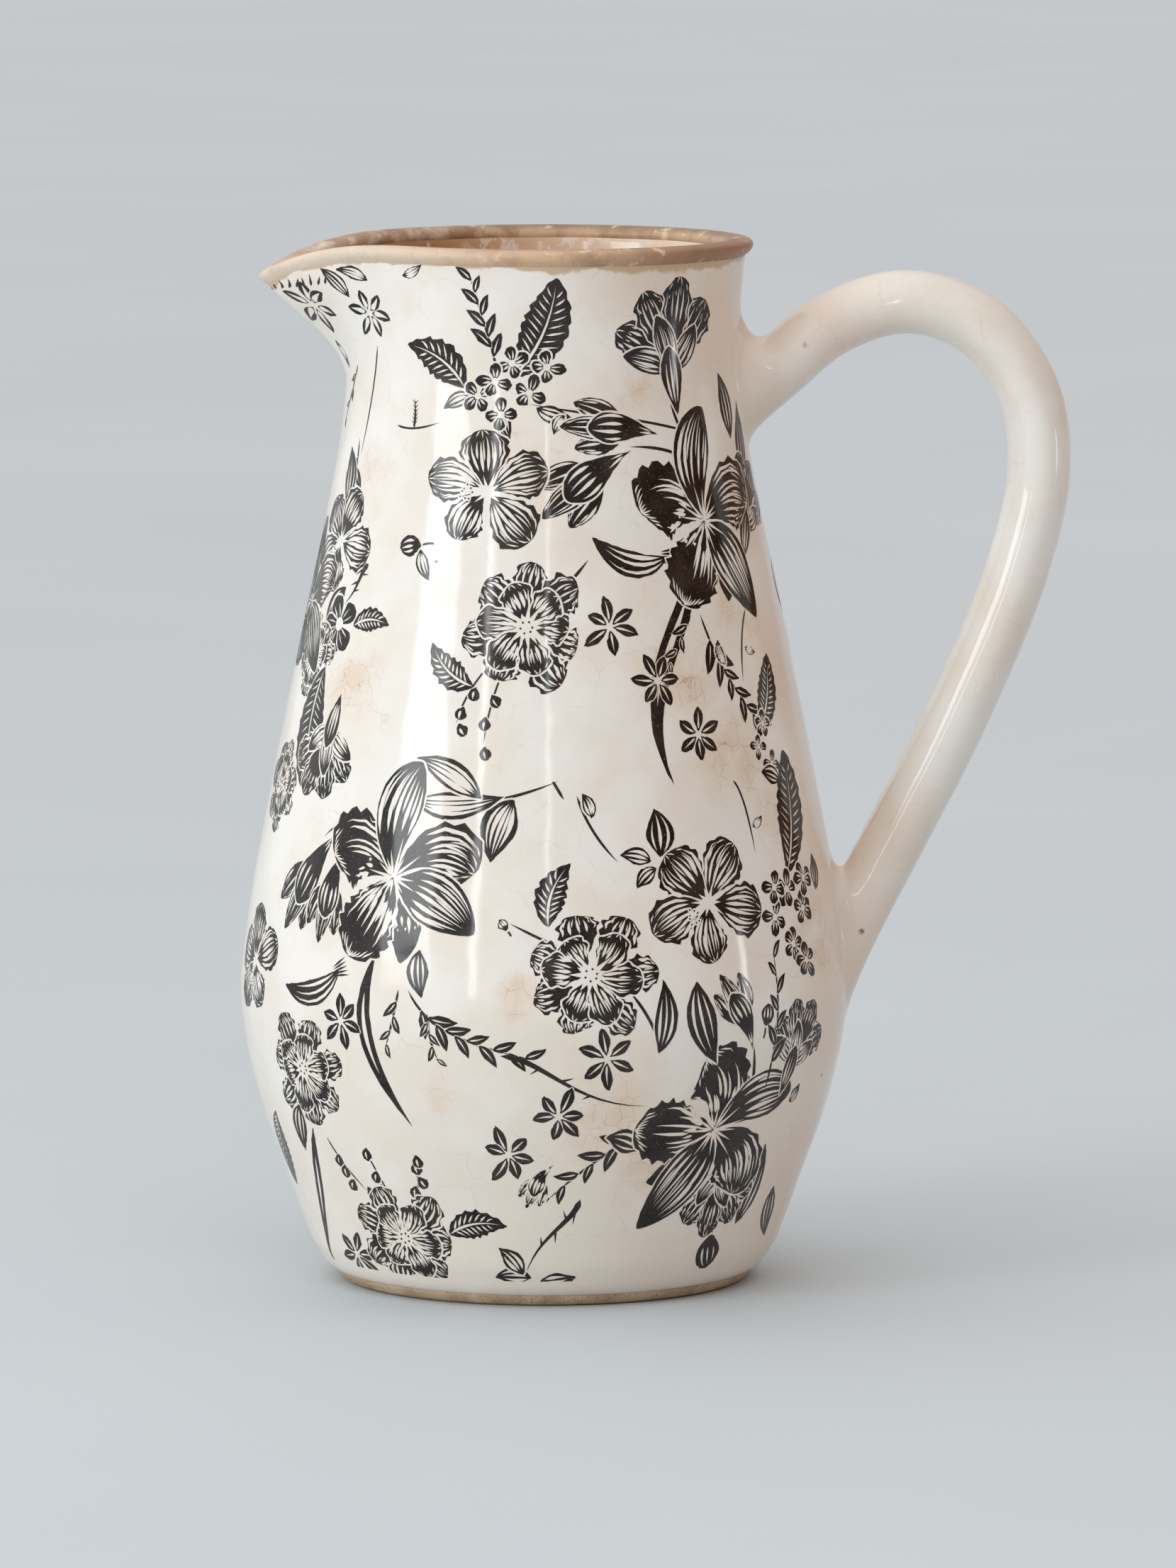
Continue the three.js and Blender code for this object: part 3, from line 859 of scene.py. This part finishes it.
def belly_orchid():
    """Second orchid on the left of the belly, with leaves above and a long sprig below."""
    return [
        (-38, 133, vine([(0, 0), (-8, 4), (-17, -4)], 0.4), 0),
        (-20, 140, vine([(0, 0), (16, 1), (30, 7)], 0.4), 0),
        (-6, 142, leaf(18, 5.0, cuts=5, width=0.6), 160),
        (-28, 141, leaf(26, 3.8, cuts=4, width=0.7), -86),
        (-13, 142, leaf(22, 3.8, cuts=4, width=0.7), 62),
        (-26, 90, sprig([(0, 0), (6, -10), (16, -14), (36, -18)], 10, 9.5), 0),
        (-28, 90, sprig([(0, 0), (-1, -8), (-4, -16)], 4, 7.0), 0),
        (-24, 101, leaf(13, 3.2), 186),
        (-22, 84, sprig([(0, 0), (0, -6), (3, -13)], 4, 6.0), 0),
        (-47, 130, trumpet(30), 146),
        (-44, 126, trumpet(24), 166),
        (-42, 94, side_pod(23), 113),
        (-31, 120, orchid_tail([(-4, -22), (-10, -38), (-6, -50), (6, -68)], 2.2), 0),
        (-31, 120, placed(orchid([(1, -1), (12, -2), (24, -12)]), size=1.08), -3),
        (-41, 80, star(), 12),
        (-53, 65, peony(16), 30),
        (-57, 54, leaf(14, 3.4), 165),
        (-54, 48, orchid_tail([(0, 0), (-6, -14), (-8, -24), (-16, -42)], 1.7), 0),
        (-50, 46, bells([(0, 0), (4, -8), (10, -14)], 4), 0),
        (-72, 92, mallow(15), 70),
        (-70, 50, feather(22), 170),
    ]


def belly_middle():
    """Peony, mallow and foliage across the middle of the belly."""
    entries = [
        (-3, 105, vine([(12, -4), (3, 0), (-5, 4)], 0.36), 0),
        (-7, 107, bud(3.4), 40),
        (1, 108, toothed(18), -14),
        (22, 76, vine([(0, 0), (-3, 8), (-9, 15)], 0.42), 0),
        (22, 73, leaf(20, 3.4), -4),
        (9, 95, peony(18.5), 12),
        (24, 126, leaf(13, 4.2), 4),
        (22, 125, leaf(9, 2.4), 78),
        (23, 123, leaf(8, 2.2), 130),
        (7, 143, vine([(0, 0), (3, -10), (11, -18)], 0.36), 0),
        (10, 137, leaf(7, 1.8), 20),
        (2, 147, vine([(0, 0), (1.5, -2.5), (3, -5)], 0.4), 0),
        (34, 113, mallow(18), 34),
        (30, 92, leaf(24, 4.6), 196),
        (57, 118, feather(34), -12),
        (55, 66, lily(15), -18),
        (68, 112, leaf(10, 2.8), -6),
        (48, 70, sprig([(0, -10), (3, 8), (2, 28)], 7, 8.0), 0),
    ]
    for azimuth, height in ((56, 114), (51, 107), (61, 108), (56, 99), (63, 116), (60, 94), (52, 115)):
        entries.append((azimuth, height, blossom(5.0), 5 * azimuth))
    return entries


def base_spray():
    """Third orchid low on the right, stars and twigs, and a peony at the base."""
    return [
        (-8, 73, twig(42), -26),
        (8, 45, sprig([(18, 6), (6, 2), (-10, -14)], 7, 8.5), 0),
        (44, 58, vine([(0, -6), (1, 6), (-1, 15)], 0.5), 0),
        (43, 72, trumpet(22), 28),
        (46, 78, bud(6), -8),
        (57, 55, leaf(6, 1.8), -40),
        (20, 46, leaf(11, 3.4), 70),
        (50, 21, leaf(23, 3.6), -8),
        (41, 38, lily(15), 192),
        (36, 50, placed(orchid(), size=1.04), -66),
        (12, 72, star(8), 14),
        (3, 56, star(8), 40),
        (-7, 45, star(8), 20),
        (-35, 29, bells([(0, 0), (-3, 8), (-6, 15)], 3), 0),
        (-29, 29, bells([(0, 0), (3, 8), (2, 15)], 4), 0),
        (-22, 21, toothed(17), -74),
        (-52, 12, star(8), 40),
        (-34, 19, peony(15.5), 70),
        (8, 32, twig(26), -128),
        (-3, 9, leaf(10, 2.6), 90),
        (-1, 8, leaf(10, 2.6), -82),
        (-5, 10, leaf(10, 2.6), 40),
        (43, 19, bud(10), 190),
        (2, 42, trumpet(13), 150),
        (62, 30, leaf(16, 3.4), 200),
    ]


def upper_half():
    """Entries for the neck and shoulder, from the column under the spout round to the handle."""
    return spout_column() + neck_spray() + orchid_spray() + mallow_and_peony()


def lower_half():
    """Entries for the belly and the base."""
    return belly_orchid() + base_spray() + belly_middle()


# ---------------------------------------------------------------- print laid on the wall

SHEET_RADIUS = 70.0  # one radian round the vessel is this wide on the flat sheet
PRINT_LIFT = 0.06
PRINT_DEPTH = 0.04  # how far the underside of the print is sunk in the glaze
PRINT_BOTTOM = FOOT_HEIGHT + 1.0
PRINT_GAP = 0.4  # how far below the rim bead, its skirt not counted, the print is cut off
PRINT_EDGE = 3.0  # longest side of a printed facet, as measured on the flat sheet


def on_sheet(entries, shift=0):
    """Shapes of the entries, moved round by degrees, each as wide as it will be on the vessel."""
    shapes = []
    for azimuth, height, drawing, turn in entries:
        for line, ink in placed(drawing, turn=turn):
            z = height + line[:, 1]
            across = math.radians(azimuth + shift) + line[:, 0] / outer_radius(np.clip(z, 0, HEIGHT))
            shapes.append((np.stack([SHEET_RADIUS * across, z], axis=1), ink))
    return shapes


def covered(points, outline):
    """Which points lie inside a closed outline."""
    x, y = points.T
    inside = np.zeros(len(points), bool)
    for (x0, y0), (x1, y1) in zip(outline, np.roll(outline, -1, axis=0)):
        if y0 != y1:
            inside ^= ((y0 > y) != (y1 > y)) & (x < x0 + (y - y0) * (x1 - x0) / (y1 - y0))
    return inside


def from_spout(across):
    """Angle from the tip of the spout, -pi to pi, at a distance across the sheet."""
    return (across / SHEET_RADIUS + 1.5 * math.pi) % (2 * math.pi) - math.pi


def print_top(across):
    """Height at which the rim cuts the print off."""
    return rim_height(from_spout(across)) - RIM_HEIGHT - PRINT_GAP


def inked_triangles(shapes):
    """Cuts the sheet along every outline and keeps the triangles whose uppermost shape is ink."""
    across = np.arange(min(line[:, 0].min() for line, ink in shapes),
                       max(line[:, 0].max() for line, ink in shapes), PRINT_EDGE)
    points = [(x, PRINT_BOTTOM) for x in across] + [(x, print_top(x)) for x in across]
    edges = [(k, k + 1) for k in range(2 * len(across) - 1) if k != len(across) - 1]
    for line, ink in shapes:
        first = len(points)
        points.extend(line)
        edges.extend((first + k, first + (k + 1) % len(line)) for k in range(len(line)))
    flat, _, triangles, *_ = delaunay_2d_cdt([Vector(point) for point in points], edges, [], 0, 1e-4)
    flat = np.array(flat)
    triangles = np.array(triangles)
    centres = flat[triangles].mean(axis=1)
    order = np.argsort(centres[:, 0])
    from_left = centres[order, 0]
    inked = np.zeros(len(triangles), bool)
    for line, ink in shapes:
        first, last = np.searchsorted(from_left, (line[:, 0].min(), line[:, 0].max()))
        near = order[first:last]
        near = near[np.abs(centres[near, 1] - np.mean(line[:, 1])) < np.ptp(line[:, 1])]
        inked[near[covered(centres[near], line)]] = ink
    inked &= (centres[:, 1] > PRINT_BOTTOM) & (centres[:, 1] < print_top(centres[:, 0]))
    return flat, triangles[inked]


def fine_sheet(shapes):
    """Points, triangles and border of the inked parts of the sheet, sides over PRINT_EDGE halved in two
    rounds.
    """
    flat, triangles = inked_triangles(shapes)
    used, numbers = np.unique(triangles, return_inverse=True)
    sheet = bmesh.new()
    corners = [sheet.verts.new((x, z, 0)) for x, z in flat[used]]
    for a, b, c in numbers.reshape(-1, 3):
        sheet.faces.new((corners[a], corners[b], corners[c]))
    for _ in range(2):
        long_edges = [edge for edge in sheet.edges if edge.calc_length() > PRINT_EDGE]
        bmesh.ops.subdivide_edges(sheet, edges=long_edges, cuts=1)
        bmesh.ops.triangulate(sheet, faces=sheet.faces)
    sheet.verts.index_update()
    points = np.array([corner.co[:2] for corner in sheet.verts])
    faces = np.array([[corner.index for corner in face.verts] for face in sheet.faces])
    border = [(loop.vert.index, loop.link_loop_next.vert.index)
              for edge in sheet.edges if edge.is_boundary for loop in edge.link_loops]
    sheet.free()
    return points, faces, np.array(border)


def on_wall(points):
    """Places and outward directions on the vessel's outside for points of the sheet."""
    angle = from_spout(points[:, 0])
    height = points[:, 1]
    place = outer_point(angle, height)
    turn = 0.001
    step = 0.05
    round_wall = outer_point(angle + turn, height) - outer_point(angle - turn, height)
    up_wall = outer_point(angle, height + step) - outer_point(angle, height - step)
    outward = np.cross(round_wall, up_wall)
    return place, outward / np.linalg.norm(outward, axis=1)[:, None]


def make_print(name, shapes, material):
    """The inked shapes as one thin closed layer, whose shading follows the wall below it."""
    points, faces, border = fine_sheet(shapes)
    place, outward = on_wall(points)
    count = len(points)
    corners = np.concatenate([place + PRINT_LIFT * outward, place - PRINT_DEPTH * outward])
    top = faces.tolist()
    under = (faces[:, ::-1] + count).tolist()
    start, end = border.T
    sides = np.stack([end, start, start + count, end + count], axis=1).tolist()
    layer = mesh_object(name, corners, top + under + sides, material)
    layer.data.normals_split_custom_set_from_vertices(np.concatenate([outward, -outward]).tolist())


# ---------------------------------------------------------------- materials

class Paint:
    """A node material being put together. Its methods return sockets that can feed each other."""

    def __init__(self, name):
        self.material = bpy.data.materials.new(name)
        self.material.use_nodes = True
        self.tree = self.material.node_tree
        self.shader = self.tree.nodes["Principled BSDF"]
        self.shader.inputs["Specular IOR Level"].default_value = 0.35
        in_metres = self.tree.nodes.new("ShaderNodeTexCoord").outputs["Object"]
        in_mm = self.vector("MULTIPLY", in_metres, (1 / MM, 1 / MM, 1 / MM))
        self.place = self.vector("SUBTRACT", in_mm, (AXIS_X, 0, 0))
        self.across, self.depth, self.height = self.node("ShaderNodeSeparateXYZ", {0: self.place}).outputs

    def node(self, kind, inputs, **settings):
        """A new node with these settings. An input is given a socket to link or a value to hold."""
        made = self.tree.nodes.new(kind)
        for name, value in settings.items():
            setattr(made, name, value)
        for name, value in inputs.items():
            self.feed(made.inputs[name], value)
        return made

    def feed(self, socket, value):
        if isinstance(value, bpy.types.NodeSocket):
            self.tree.links.new(value, socket)
        else:
            socket.default_value = value

    def vector(self, operation, first, second):
        made = self.node("ShaderNodeVectorMath", {0: first, 1: second}, operation=operation)
        return made.outputs["Value" if operation == "DISTANCE" else "Vector"]

    def number(self, operation, first, second):
        return self.node("ShaderNodeMath", {0: first, 1: second}, operation=operation).outputs[0]

    def noise(self, size, detail=3.0, roughness=0.55, place=None):
        """Soft noise from 0 to 1 with features of about this many millimetres."""
        inputs = {"Vector": place or self.place, "Scale": 1 / size}
        inputs |= {"Detail": detail, "Roughness": roughness}
        return self.node("ShaderNodeTexNoise", inputs).outputs["Fac"]

    def warped(self, size, amount):
        """The place shifted by up to about this many millimetres, so that lines through it wander."""
        inputs = {"Vector": self.place, "Scale": 1 / size, "Detail": 2.0}
        colour = self.node("ShaderNodeTexNoise", inputs).outputs["Color"]
        shift = self.vector("SUBTRACT", colour, (0.5, 0.5, 0.5))
        return self.vector("ADD", self.place, self.vector("MULTIPLY", shift, (2 * amount,) * 3))

    def cells(self, size, feature, place=None):
        """Distance in millimetres to the edge or the heart of irregular cells."""
        inputs = {"Vector": place or self.place, "Scale": 1 / size}
        distance = self.node("ShaderNodeTexVoronoi", inputs, feature=feature).outputs["Distance"]
        return self.number("MULTIPLY", distance, size)

    def part(self, share, factor):
        """A share, itself a socket or a number, made smaller by a factor."""
        return self.number("MULTIPLY", share, factor)

    def step(self, value, start, end):
        """Smooth change from 0 at one value to 1 at another."""
        inputs = {"Value": value, "From Min": start, "From Max": end}
        return self.node("ShaderNodeMapRange", inputs, interpolation_type="SMOOTHSTEP").outputs["Result"]

    def mix(self, share, first, second):
        """Colour that goes from the first to the second as share goes from 0 to 1."""
        made = self.node("ShaderNodeMix", {"Factor": share}, data_type="RGBA")
        for socket, colour in zip((made.inputs[6], made.inputs[7]), (first, second)):
            self.feed(socket, (*colour, 1) if isinstance(colour, tuple) else colour)
        return made.outputs[2]

    def over(self, colour, share, strength, tint):
        """The colour with a tint laid over it, this strong at most, where share is 1."""
        return self.mix(self.part(share, strength), colour, tint)

    def attribute(self, name):
        return self.node("ShaderNodeAttribute", {}, attribute_name=name).outputs["Fac"]

    def spots(self, centres, wander):
        """1 in the middle of each spot, a centre and a radius, and 0 outside; wander is for warped()."""
        place = self.warped(*wander)
        total = 0.0
        for centre, radius in centres:
            share = self.step(self.vector("DISTANCE", place, centre), radius, 0.15 * radius)
            total = self.number("MAXIMUM", total, share)
        return total

    def finish(self, colour, roughness, height=None, depth=0.1):
        """Joins colour, roughness and a relief of this many millimetres to the shader."""
        self.feed(self.shader.inputs["Base Color"], colour)
        self.feed(self.shader.inputs["Roughness"], roughness)
        if height is not None:
            inputs = {"Height": height, "Distance": depth * MM, "Strength": 1.0}
            self.feed(self.shader.inputs["Normal"], self.node("ShaderNodeBump", inputs).outputs["Normal"])
        return self.material


def on_outside(azimuth, height):
    """A point of the vessel's outside, for a material to measure distances from."""
    return tuple(outer_point(math.radians(azimuth) + math.pi / 2, height))


# Tea-coloured stains in the glaze: degrees round from the front, height and radius.
STAINS = [
    (-2, 228, 15), (-10, 238, 9), (33, 176, 20), (46, 152, 18), (56, 190, 16), (64, 216, 15),
    (-50, 172, 17), (-58, 224, 15), (12, 56, 18), (22, 40, 14), (58, 140, 18), (66, 100, 18),
    (-6, 90, 10), (26, 250, 9), (-20, 60, 8), (120, 185, 22), (150, 228, 16), (165, 70, 20),
    (200, 125, 22), (222, 205, 18), (245, 60, 16),
]
# Dark specks where grit melted through the glaze, as points round the vessel's axis and radii.
SPECKS = [
    ((72, -11, 261), 1.5), ((88, -11, 98), 1.3), (on_outside(-28, 205), 0.7), (on_outside(70, 60), 0.8),
    (on_outside(150, 160), 0.9), (on_outside(230, 140), 0.8),
]

# Painted warm shade and reflection of the room on the handle side, as a warm tinge in the glaze:
# at the handle's joints, below the rim on that side and down the wall beside the handle.
WARM_SHADE_SPOTS = [((56, 0, 246), 34), ((76, 0, 264), 26), ((82, 0, 100), 30)]
WARM_SHADE_SPOTS += [(on_outside(34, 287), 30), (on_outside(58, 266), 38)]
WARM_SHADE_SPOTS += [(on_outside(78, height), 36) for height in range(30, 271, 48)]

CREAM = (0.83, 0.795, 0.74)
WARM_CREAM = (0.79, 0.72, 0.63)
TEA = (0.66, 0.43, 0.23)
UMBER = (0.20, 0.105, 0.052)
PAINTED_WARM_SHADE = (0.73, 0.56, 0.44)
IRON = (0.09, 0.045, 0.025)
RUN_BROWN = (0.44, 0.21, 0.085)
RUN_SAND = (0.84, 0.64, 0.48)
BLEED_BROWN = (0.54, 0.35, 0.20)

RIM_BEIGE = (0.73, 0.60, 0.48)
RIM_TAN = (0.64, 0.44, 0.28)
RIM_DARK = (0.34, 0.18, 0.105)
RIM_CLOUD = (0.27, 0.135, 0.065)
RIM_BROWN = (0.31, 0.16, 0.08)
RIM_INNER_SHADE = (0.19, 0.10, 0.052)
RIM_WORN = (0.80, 0.66, 0.48)
RIM_GRAIN = (0.13, 0.075, 0.05)

CLAY = (0.42, 0.29, 0.18)
PALE_CLAY = (0.54, 0.41, 0.28)
GRIT = (0.20, 0.12, 0.07)
RUBBED_CLAY = (0.17, 0.12, 0.08)
INK = (0.009, 0.006, 0.005)
THIN_INK = (0.034, 0.025, 0.020)
WORN_INK = (0.20, 0.17, 0.14)
FLOOR_PAINT = (0.57, 0.62, 0.655)
PALE_FLOOR_PAINT = (0.59, 0.64, 0.675)


def crackle(paint):
    """Crazing: a coarse net of hairlines and a finer one, 1 on a line and 0 off it."""
    coarse = paint.cells(15.0, "DISTANCE_TO_EDGE", paint.warped(6.0, 2.2))
    fine = paint.cells(5.5, "DISTANCE_TO_EDGE", paint.warped(3.0, 1.2))
    return paint.step(coarse, 0.20, 0.02), paint.step(fine, 0.15, 0.01)


def aged_cream(paint):
    """Cream in soft blotches with painted warm shade low down, and how strongly each place is tea-stained.
    """
    # painted shade: the cream grows warmer towards the bottom
    painted_low_shade = paint.part(paint.step(paint.height, 115, 10), 0.2)
    blotches = paint.number("ADD", paint.noise(22.0, 4.0), painted_low_shade)
    stains = [(on_outside(azimuth, height), radius) for azimuth, height, radius in STAINS]
    stain = paint.part(paint.spots(stains, (11.0, 9.0)), paint.step(paint.noise(12.0), 0.2, 0.7))
    colour = paint.mix(paint.step(blotches, 0.35, 0.7), CREAM, WARM_CREAM)
    colour = paint.over(colour, stain, 0.48, TEA)
    # painted warm shade and reflection of the room on the handle side
    return paint.over(colour, paint.spots(WARM_SHADE_SPOTS, (16.0, 6.0)), 0.6, PAINTED_WARM_SHADE), stain


def with_runs(paint, colour):
    """The colour with brown run down from the rim: far and flaking inside, in a short bleed outside."""
    patchy = paint.noise(9.0, 5.0, 0.6)
    brown = paint.mix(paint.step(paint.across, -45, 45), RUN_BROWN, RUN_SAND)
    flaked = paint.step(paint.noise(6.0, 5.0, 0.65, paint.warped(3.0, 1.5)), 0.53, 0.60)
    inner = paint.step(paint.number("ADD", paint.attribute("inner_stain"), patchy), 0.75, 1.15)
    colour = paint.mix(inner, colour, paint.over(brown, flaked, 0.6, WARM_CREAM))
    bleed = paint.part(paint.step(paint.across, -25, 30), 0.33)
    outer = paint.number("ADD", paint.number("ADD", paint.attribute("outer_stain"), patchy), bleed)
    return paint.over(colour, paint.step(outer, 1.28, 1.44), 0.8, BLEED_BROWN)


def glaze_material():
    """Glossy cream glaze with tea stains, crazing, brown runs from the rim and a few specks."""
    paint = Paint("cream_glaze")
    colour, stain = aged_cream(paint)
    coarse, fine = crackle(paint)
    faint = paint.part(coarse, paint.step(paint.noise(14.0), 0.42, 0.68))
    colour = paint.over(colour, faint, 0.13, UMBER)
    stained_lines = paint.part(fine, paint.number("ADD", stain, 0.06))
    colour = paint.over(colour, stained_lines, 0.38, UMBER)
    colour = with_runs(paint, colour)
    colour = paint.over(colour, paint.spots(SPECKS, (1.5, 0.7)), 0.9, IRON)
    roughness = paint.number("ADD", 0.06, paint.part(paint.noise(9.0), 0.08))
    relief = paint.number("SUBTRACT", paint.noise(16.0, 1.0), paint.part(faint, 0.05))
    return paint.finish(colour, roughness, relief, 0.25)


def rim_material():
    """Brown oxide on the bead: beige by the spout, darker by the handle and behind, worn in patches."""
    paint = Paint("stained_glaze")
    clouds = paint.noise(9.0, 5.0, 0.6)
    grain = paint.noise(0.9, 3.0, 0.7)
    in_front = paint.step(paint.depth, 20, -20)
    dark_side = paint.part(paint.step(paint.across, 0, 48), in_front)
    colour = paint.mix(paint.step(paint.across, -60, 0), RIM_BEIGE, RIM_TAN)
    colour = paint.mix(dark_side, colour, RIM_DARK)
    clouded = paint.part(paint.step(clouds, 0.55, 0.35), paint.step(paint.across, -80, 40))
    colour = paint.over(colour, clouded, 0.5, RIM_CLOUD)
    behind = paint.part(paint.step(paint.depth, -10, 25), paint.step(paint.across, 35, -25))
    tip = paint.step(paint.across, -70, -84)
    browned = paint.part(paint.number("MAXIMUM", behind, tip), paint.step(clouds, 0.65, 0.4))
    colour = paint.over(colour, browned, 0.85, RIM_BROWN)
    # painted shadow along the bead's inner top edge, strongest from the front round to the handle
    edge = paint.part(paint.attribute("inner_edge_shade"), paint.step(paint.across, -55, 0))
    colour = paint.over(colour, edge, 0.75, RIM_INNER_SHADE)
    worn = paint.step(paint.noise(4.5, 4.0, 0.6, paint.warped(3.0, 1.5)), 0.60, 0.68)
    colour = paint.over(colour, worn, 0.6, RIM_WORN)
    colour = paint.over(colour, paint.step(grain, 0.55, 0.8), 0.3, RIM_GRAIN)
    roughness = paint.number("ADD", 0.30, paint.part(clouds, 0.25))
    return paint.finish(colour, roughness, grain, 0.06)


def clay_material():
    """Bare fired clay of the foot, gritty and rubbed dark where it stands."""
    paint = Paint("bare_clay")
    clouds = paint.noise(8.0, 4.0)
    grit = paint.cells(1.1, "F1")
    colour = paint.mix(paint.step(clouds, 0.35, 0.65), CLAY, PALE_CLAY)
    colour = paint.mix(paint.step(grit, 0.30, 0.12), colour, GRIT)
    colour = paint.over(colour, paint.step(paint.height, 0.8, 0.0), 0.6, RUBBED_CLAY)
    roughness = paint.number("ADD", 0.62, paint.part(clouds, 0.3))
    return paint.finish(colour, roughness, grit, 0.12)


def ink_material():
    """Black transfer print under the glaze, grained and worn thin in places."""
    paint = Paint("ink_print")
    flecks = paint.noise(0.55, 3.0, 0.7)
    fading = paint.noise(12.0, 4.0)
    colour = paint.mix(paint.step(fading, 0.35, 0.7), INK, THIN_INK)
    colour = paint.mix(paint.step(flecks, 0.60, 0.72), colour, WORN_INK)
    roughness = paint.number("ADD", 0.07, paint.part(flecks, 0.06))
    return paint.finish(colour, roughness, paint.noise(16.0, 1.0), 0.25)


def floor_material():
    """Pale matt paint in two hardly different tones."""
    paint = Paint("floor_paint")
    tone = paint.step(paint.noise(400.0, 3.0), 0.3, 0.7)
    return paint.finish(paint.mix(tone, FLOOR_PAINT, PALE_FLOOR_PAINT), 0.7)


# ---------------------------------------------------------------- stage, light and camera

CAMERA_DISTANCE = 3.10
CAMERA_HEIGHT = 0.491
CAMERA_PITCH = math.radians(6.5)
CAMERA_SIDE = 0.01218
CAMERA_LENS = 257.8

FLOOR_HALF = 40.0  # metres from the middle of the floor to its edge
LIGHT_DISTANCE = 2.2
# Windows that light the pitcher and show in its glaze: degrees round from the front towards the
# handle, width, lowest and highest edge in metres, and how bright their surface is.
WINDOWS = [
    ("wide_window", -54, 0.80, 0.30, 1.15, 6.8),
    ("window_edge", -27, 0.11, 0.25, 1.15, 10.0),
    ("gap_between_curtains", 2, 0.045, 0.50, 1.2, 11.0),
    ("far_window", 81, 0.09, 0.02, 0.28, 14.0),
]
DAYLIGHT = (0.92, 0.97, 1.0)
ROOM_LEFT = (1.03, 1.08, 1.12)
ROOM_RIGHT = (0.27, 0.12, 0.055)
ROOM_CEILING = (1.08, 1.07, 1.05)
ROOM_SIDES = 0.9  # how far sideways a direction of length 1 leans where a side's colour is full
CEILING_START = 0.35  # how far up such a direction leans where the ceiling's colour starts
CEILING_FULL = 0.85


def make_camera():
    """Long lens a little above the pitcher, looking slightly down at its front."""
    data = bpy.data.cameras.new("camera")
    data.lens = CAMERA_LENS
    data.clip_end = 100
    camera = bpy.data.objects.new("camera", data)
    camera.location = (AXIS_X * MM + CAMERA_SIDE, -CAMERA_DISTANCE, CAMERA_HEIGHT)
    camera.rotation_euler = (math.pi / 2 - CAMERA_PITCH, 0, 0)
    bpy.context.scene.collection.objects.link(camera)
    bpy.context.scene.camera = camera


def make_window(name, azimuth, width, bottom, top, brightness):
    """Upright rectangle of light that faces the pitcher's axis."""
    data = bpy.data.lights.new(name, "AREA")
    data.shape = "RECTANGLE"
    data.size = width
    data.size_y = top - bottom
    data.energy = brightness * math.pi * width * (top - bottom)
    data.color = DAYLIGHT
    turn = math.radians(azimuth)
    light = bpy.data.objects.new(name, data)
    away = LIGHT_DISTANCE * Vector((math.sin(turn), -math.cos(turn), 0))
    light.location = away + Vector((AXIS_X * MM, 0, (top + bottom) / 2))
    light.rotation_euler = (math.pi / 2, 0, turn)
    bpy.context.scene.collection.objects.link(light)


def make_floor():
    """Pale floor that reaches far behind the pitcher and so is its backdrop as well."""
    corners = [(x * FLOOR_HALF, y * FLOOR_HALF, 0) for x, y in ((-1, -1), (1, -1), (1, 1), (-1, 1))]
    mesh = bpy.data.meshes.new("floor")
    mesh.from_pydata(corners, [], [(0, 1, 2, 3)])
    mesh.materials.append(floor_material())
    floor = bpy.data.objects.new("floor", mesh)
    bpy.context.scene.collection.objects.link(floor)


def make_world():
    """Room that is pale and cool on the window side, warm and dim on the handle side, white overhead."""
    world = bpy.data.worlds.new("room")
    world.use_nodes = True
    nodes = world.node_tree.nodes
    links = world.node_tree.links
    direction = nodes.new("ShaderNodeSeparateXYZ")
    links.new(nodes.new("ShaderNodeTexCoord").outputs["Generated"], direction.inputs[0])
    sideways = nodes.new("ShaderNodeValToRGB")
    sideways.color_ramp.elements[0].color = (*ROOM_LEFT, 1)
    sideways.color_ramp.elements[1].color = (*ROOM_RIGHT, 1)
    share = nodes.new("ShaderNodeMapRange")
    share.inputs["From Min"].default_value = -ROOM_SIDES
    share.inputs["From Max"].default_value = ROOM_SIDES
    links.new(direction.outputs[0], share.inputs["Value"])
    links.new(share.outputs["Result"], sideways.inputs[0])
    overhead = nodes.new("ShaderNodeMapRange")
    overhead.inputs["From Min"].default_value = CEILING_START
    overhead.inputs["From Max"].default_value = CEILING_FULL
    links.new(direction.outputs[2], overhead.inputs["Value"])
    room = nodes.new("ShaderNodeMix")
    room.data_type = "RGBA"
    room.inputs[7].default_value = (*ROOM_CEILING, 1)
    links.new(overhead.outputs["Result"], room.inputs["Factor"])
    links.new(sideways.outputs["Color"], room.inputs[6])
    links.new(room.outputs[2], nodes["Background"].inputs["Color"])
    bpy.context.scene.world = world


# ---------------------------------------------------------------- assembly

glaze = glaze_material()
make_vessel(glaze)
make_rim(rim_material())
make_foot(clay_material())
make_handle(glaze)
ink = ink_material()
make_print("front_upper_print", on_sheet(upper_half() + spout_spray(1)), ink)
make_print("front_lower_print", on_sheet(lower_half()), ink)
make_print("back_upper_print", on_sheet(upper_half(), 180) + on_sheet(spout_spray(-1), 360), ink)
make_print("back_lower_print", on_sheet(lower_half(), 180), ink)
make_floor()
make_world()
for window in WINDOWS:
    make_window(*window)
make_camera()
bpy.context.scene.view_settings.view_transform = "Standard"
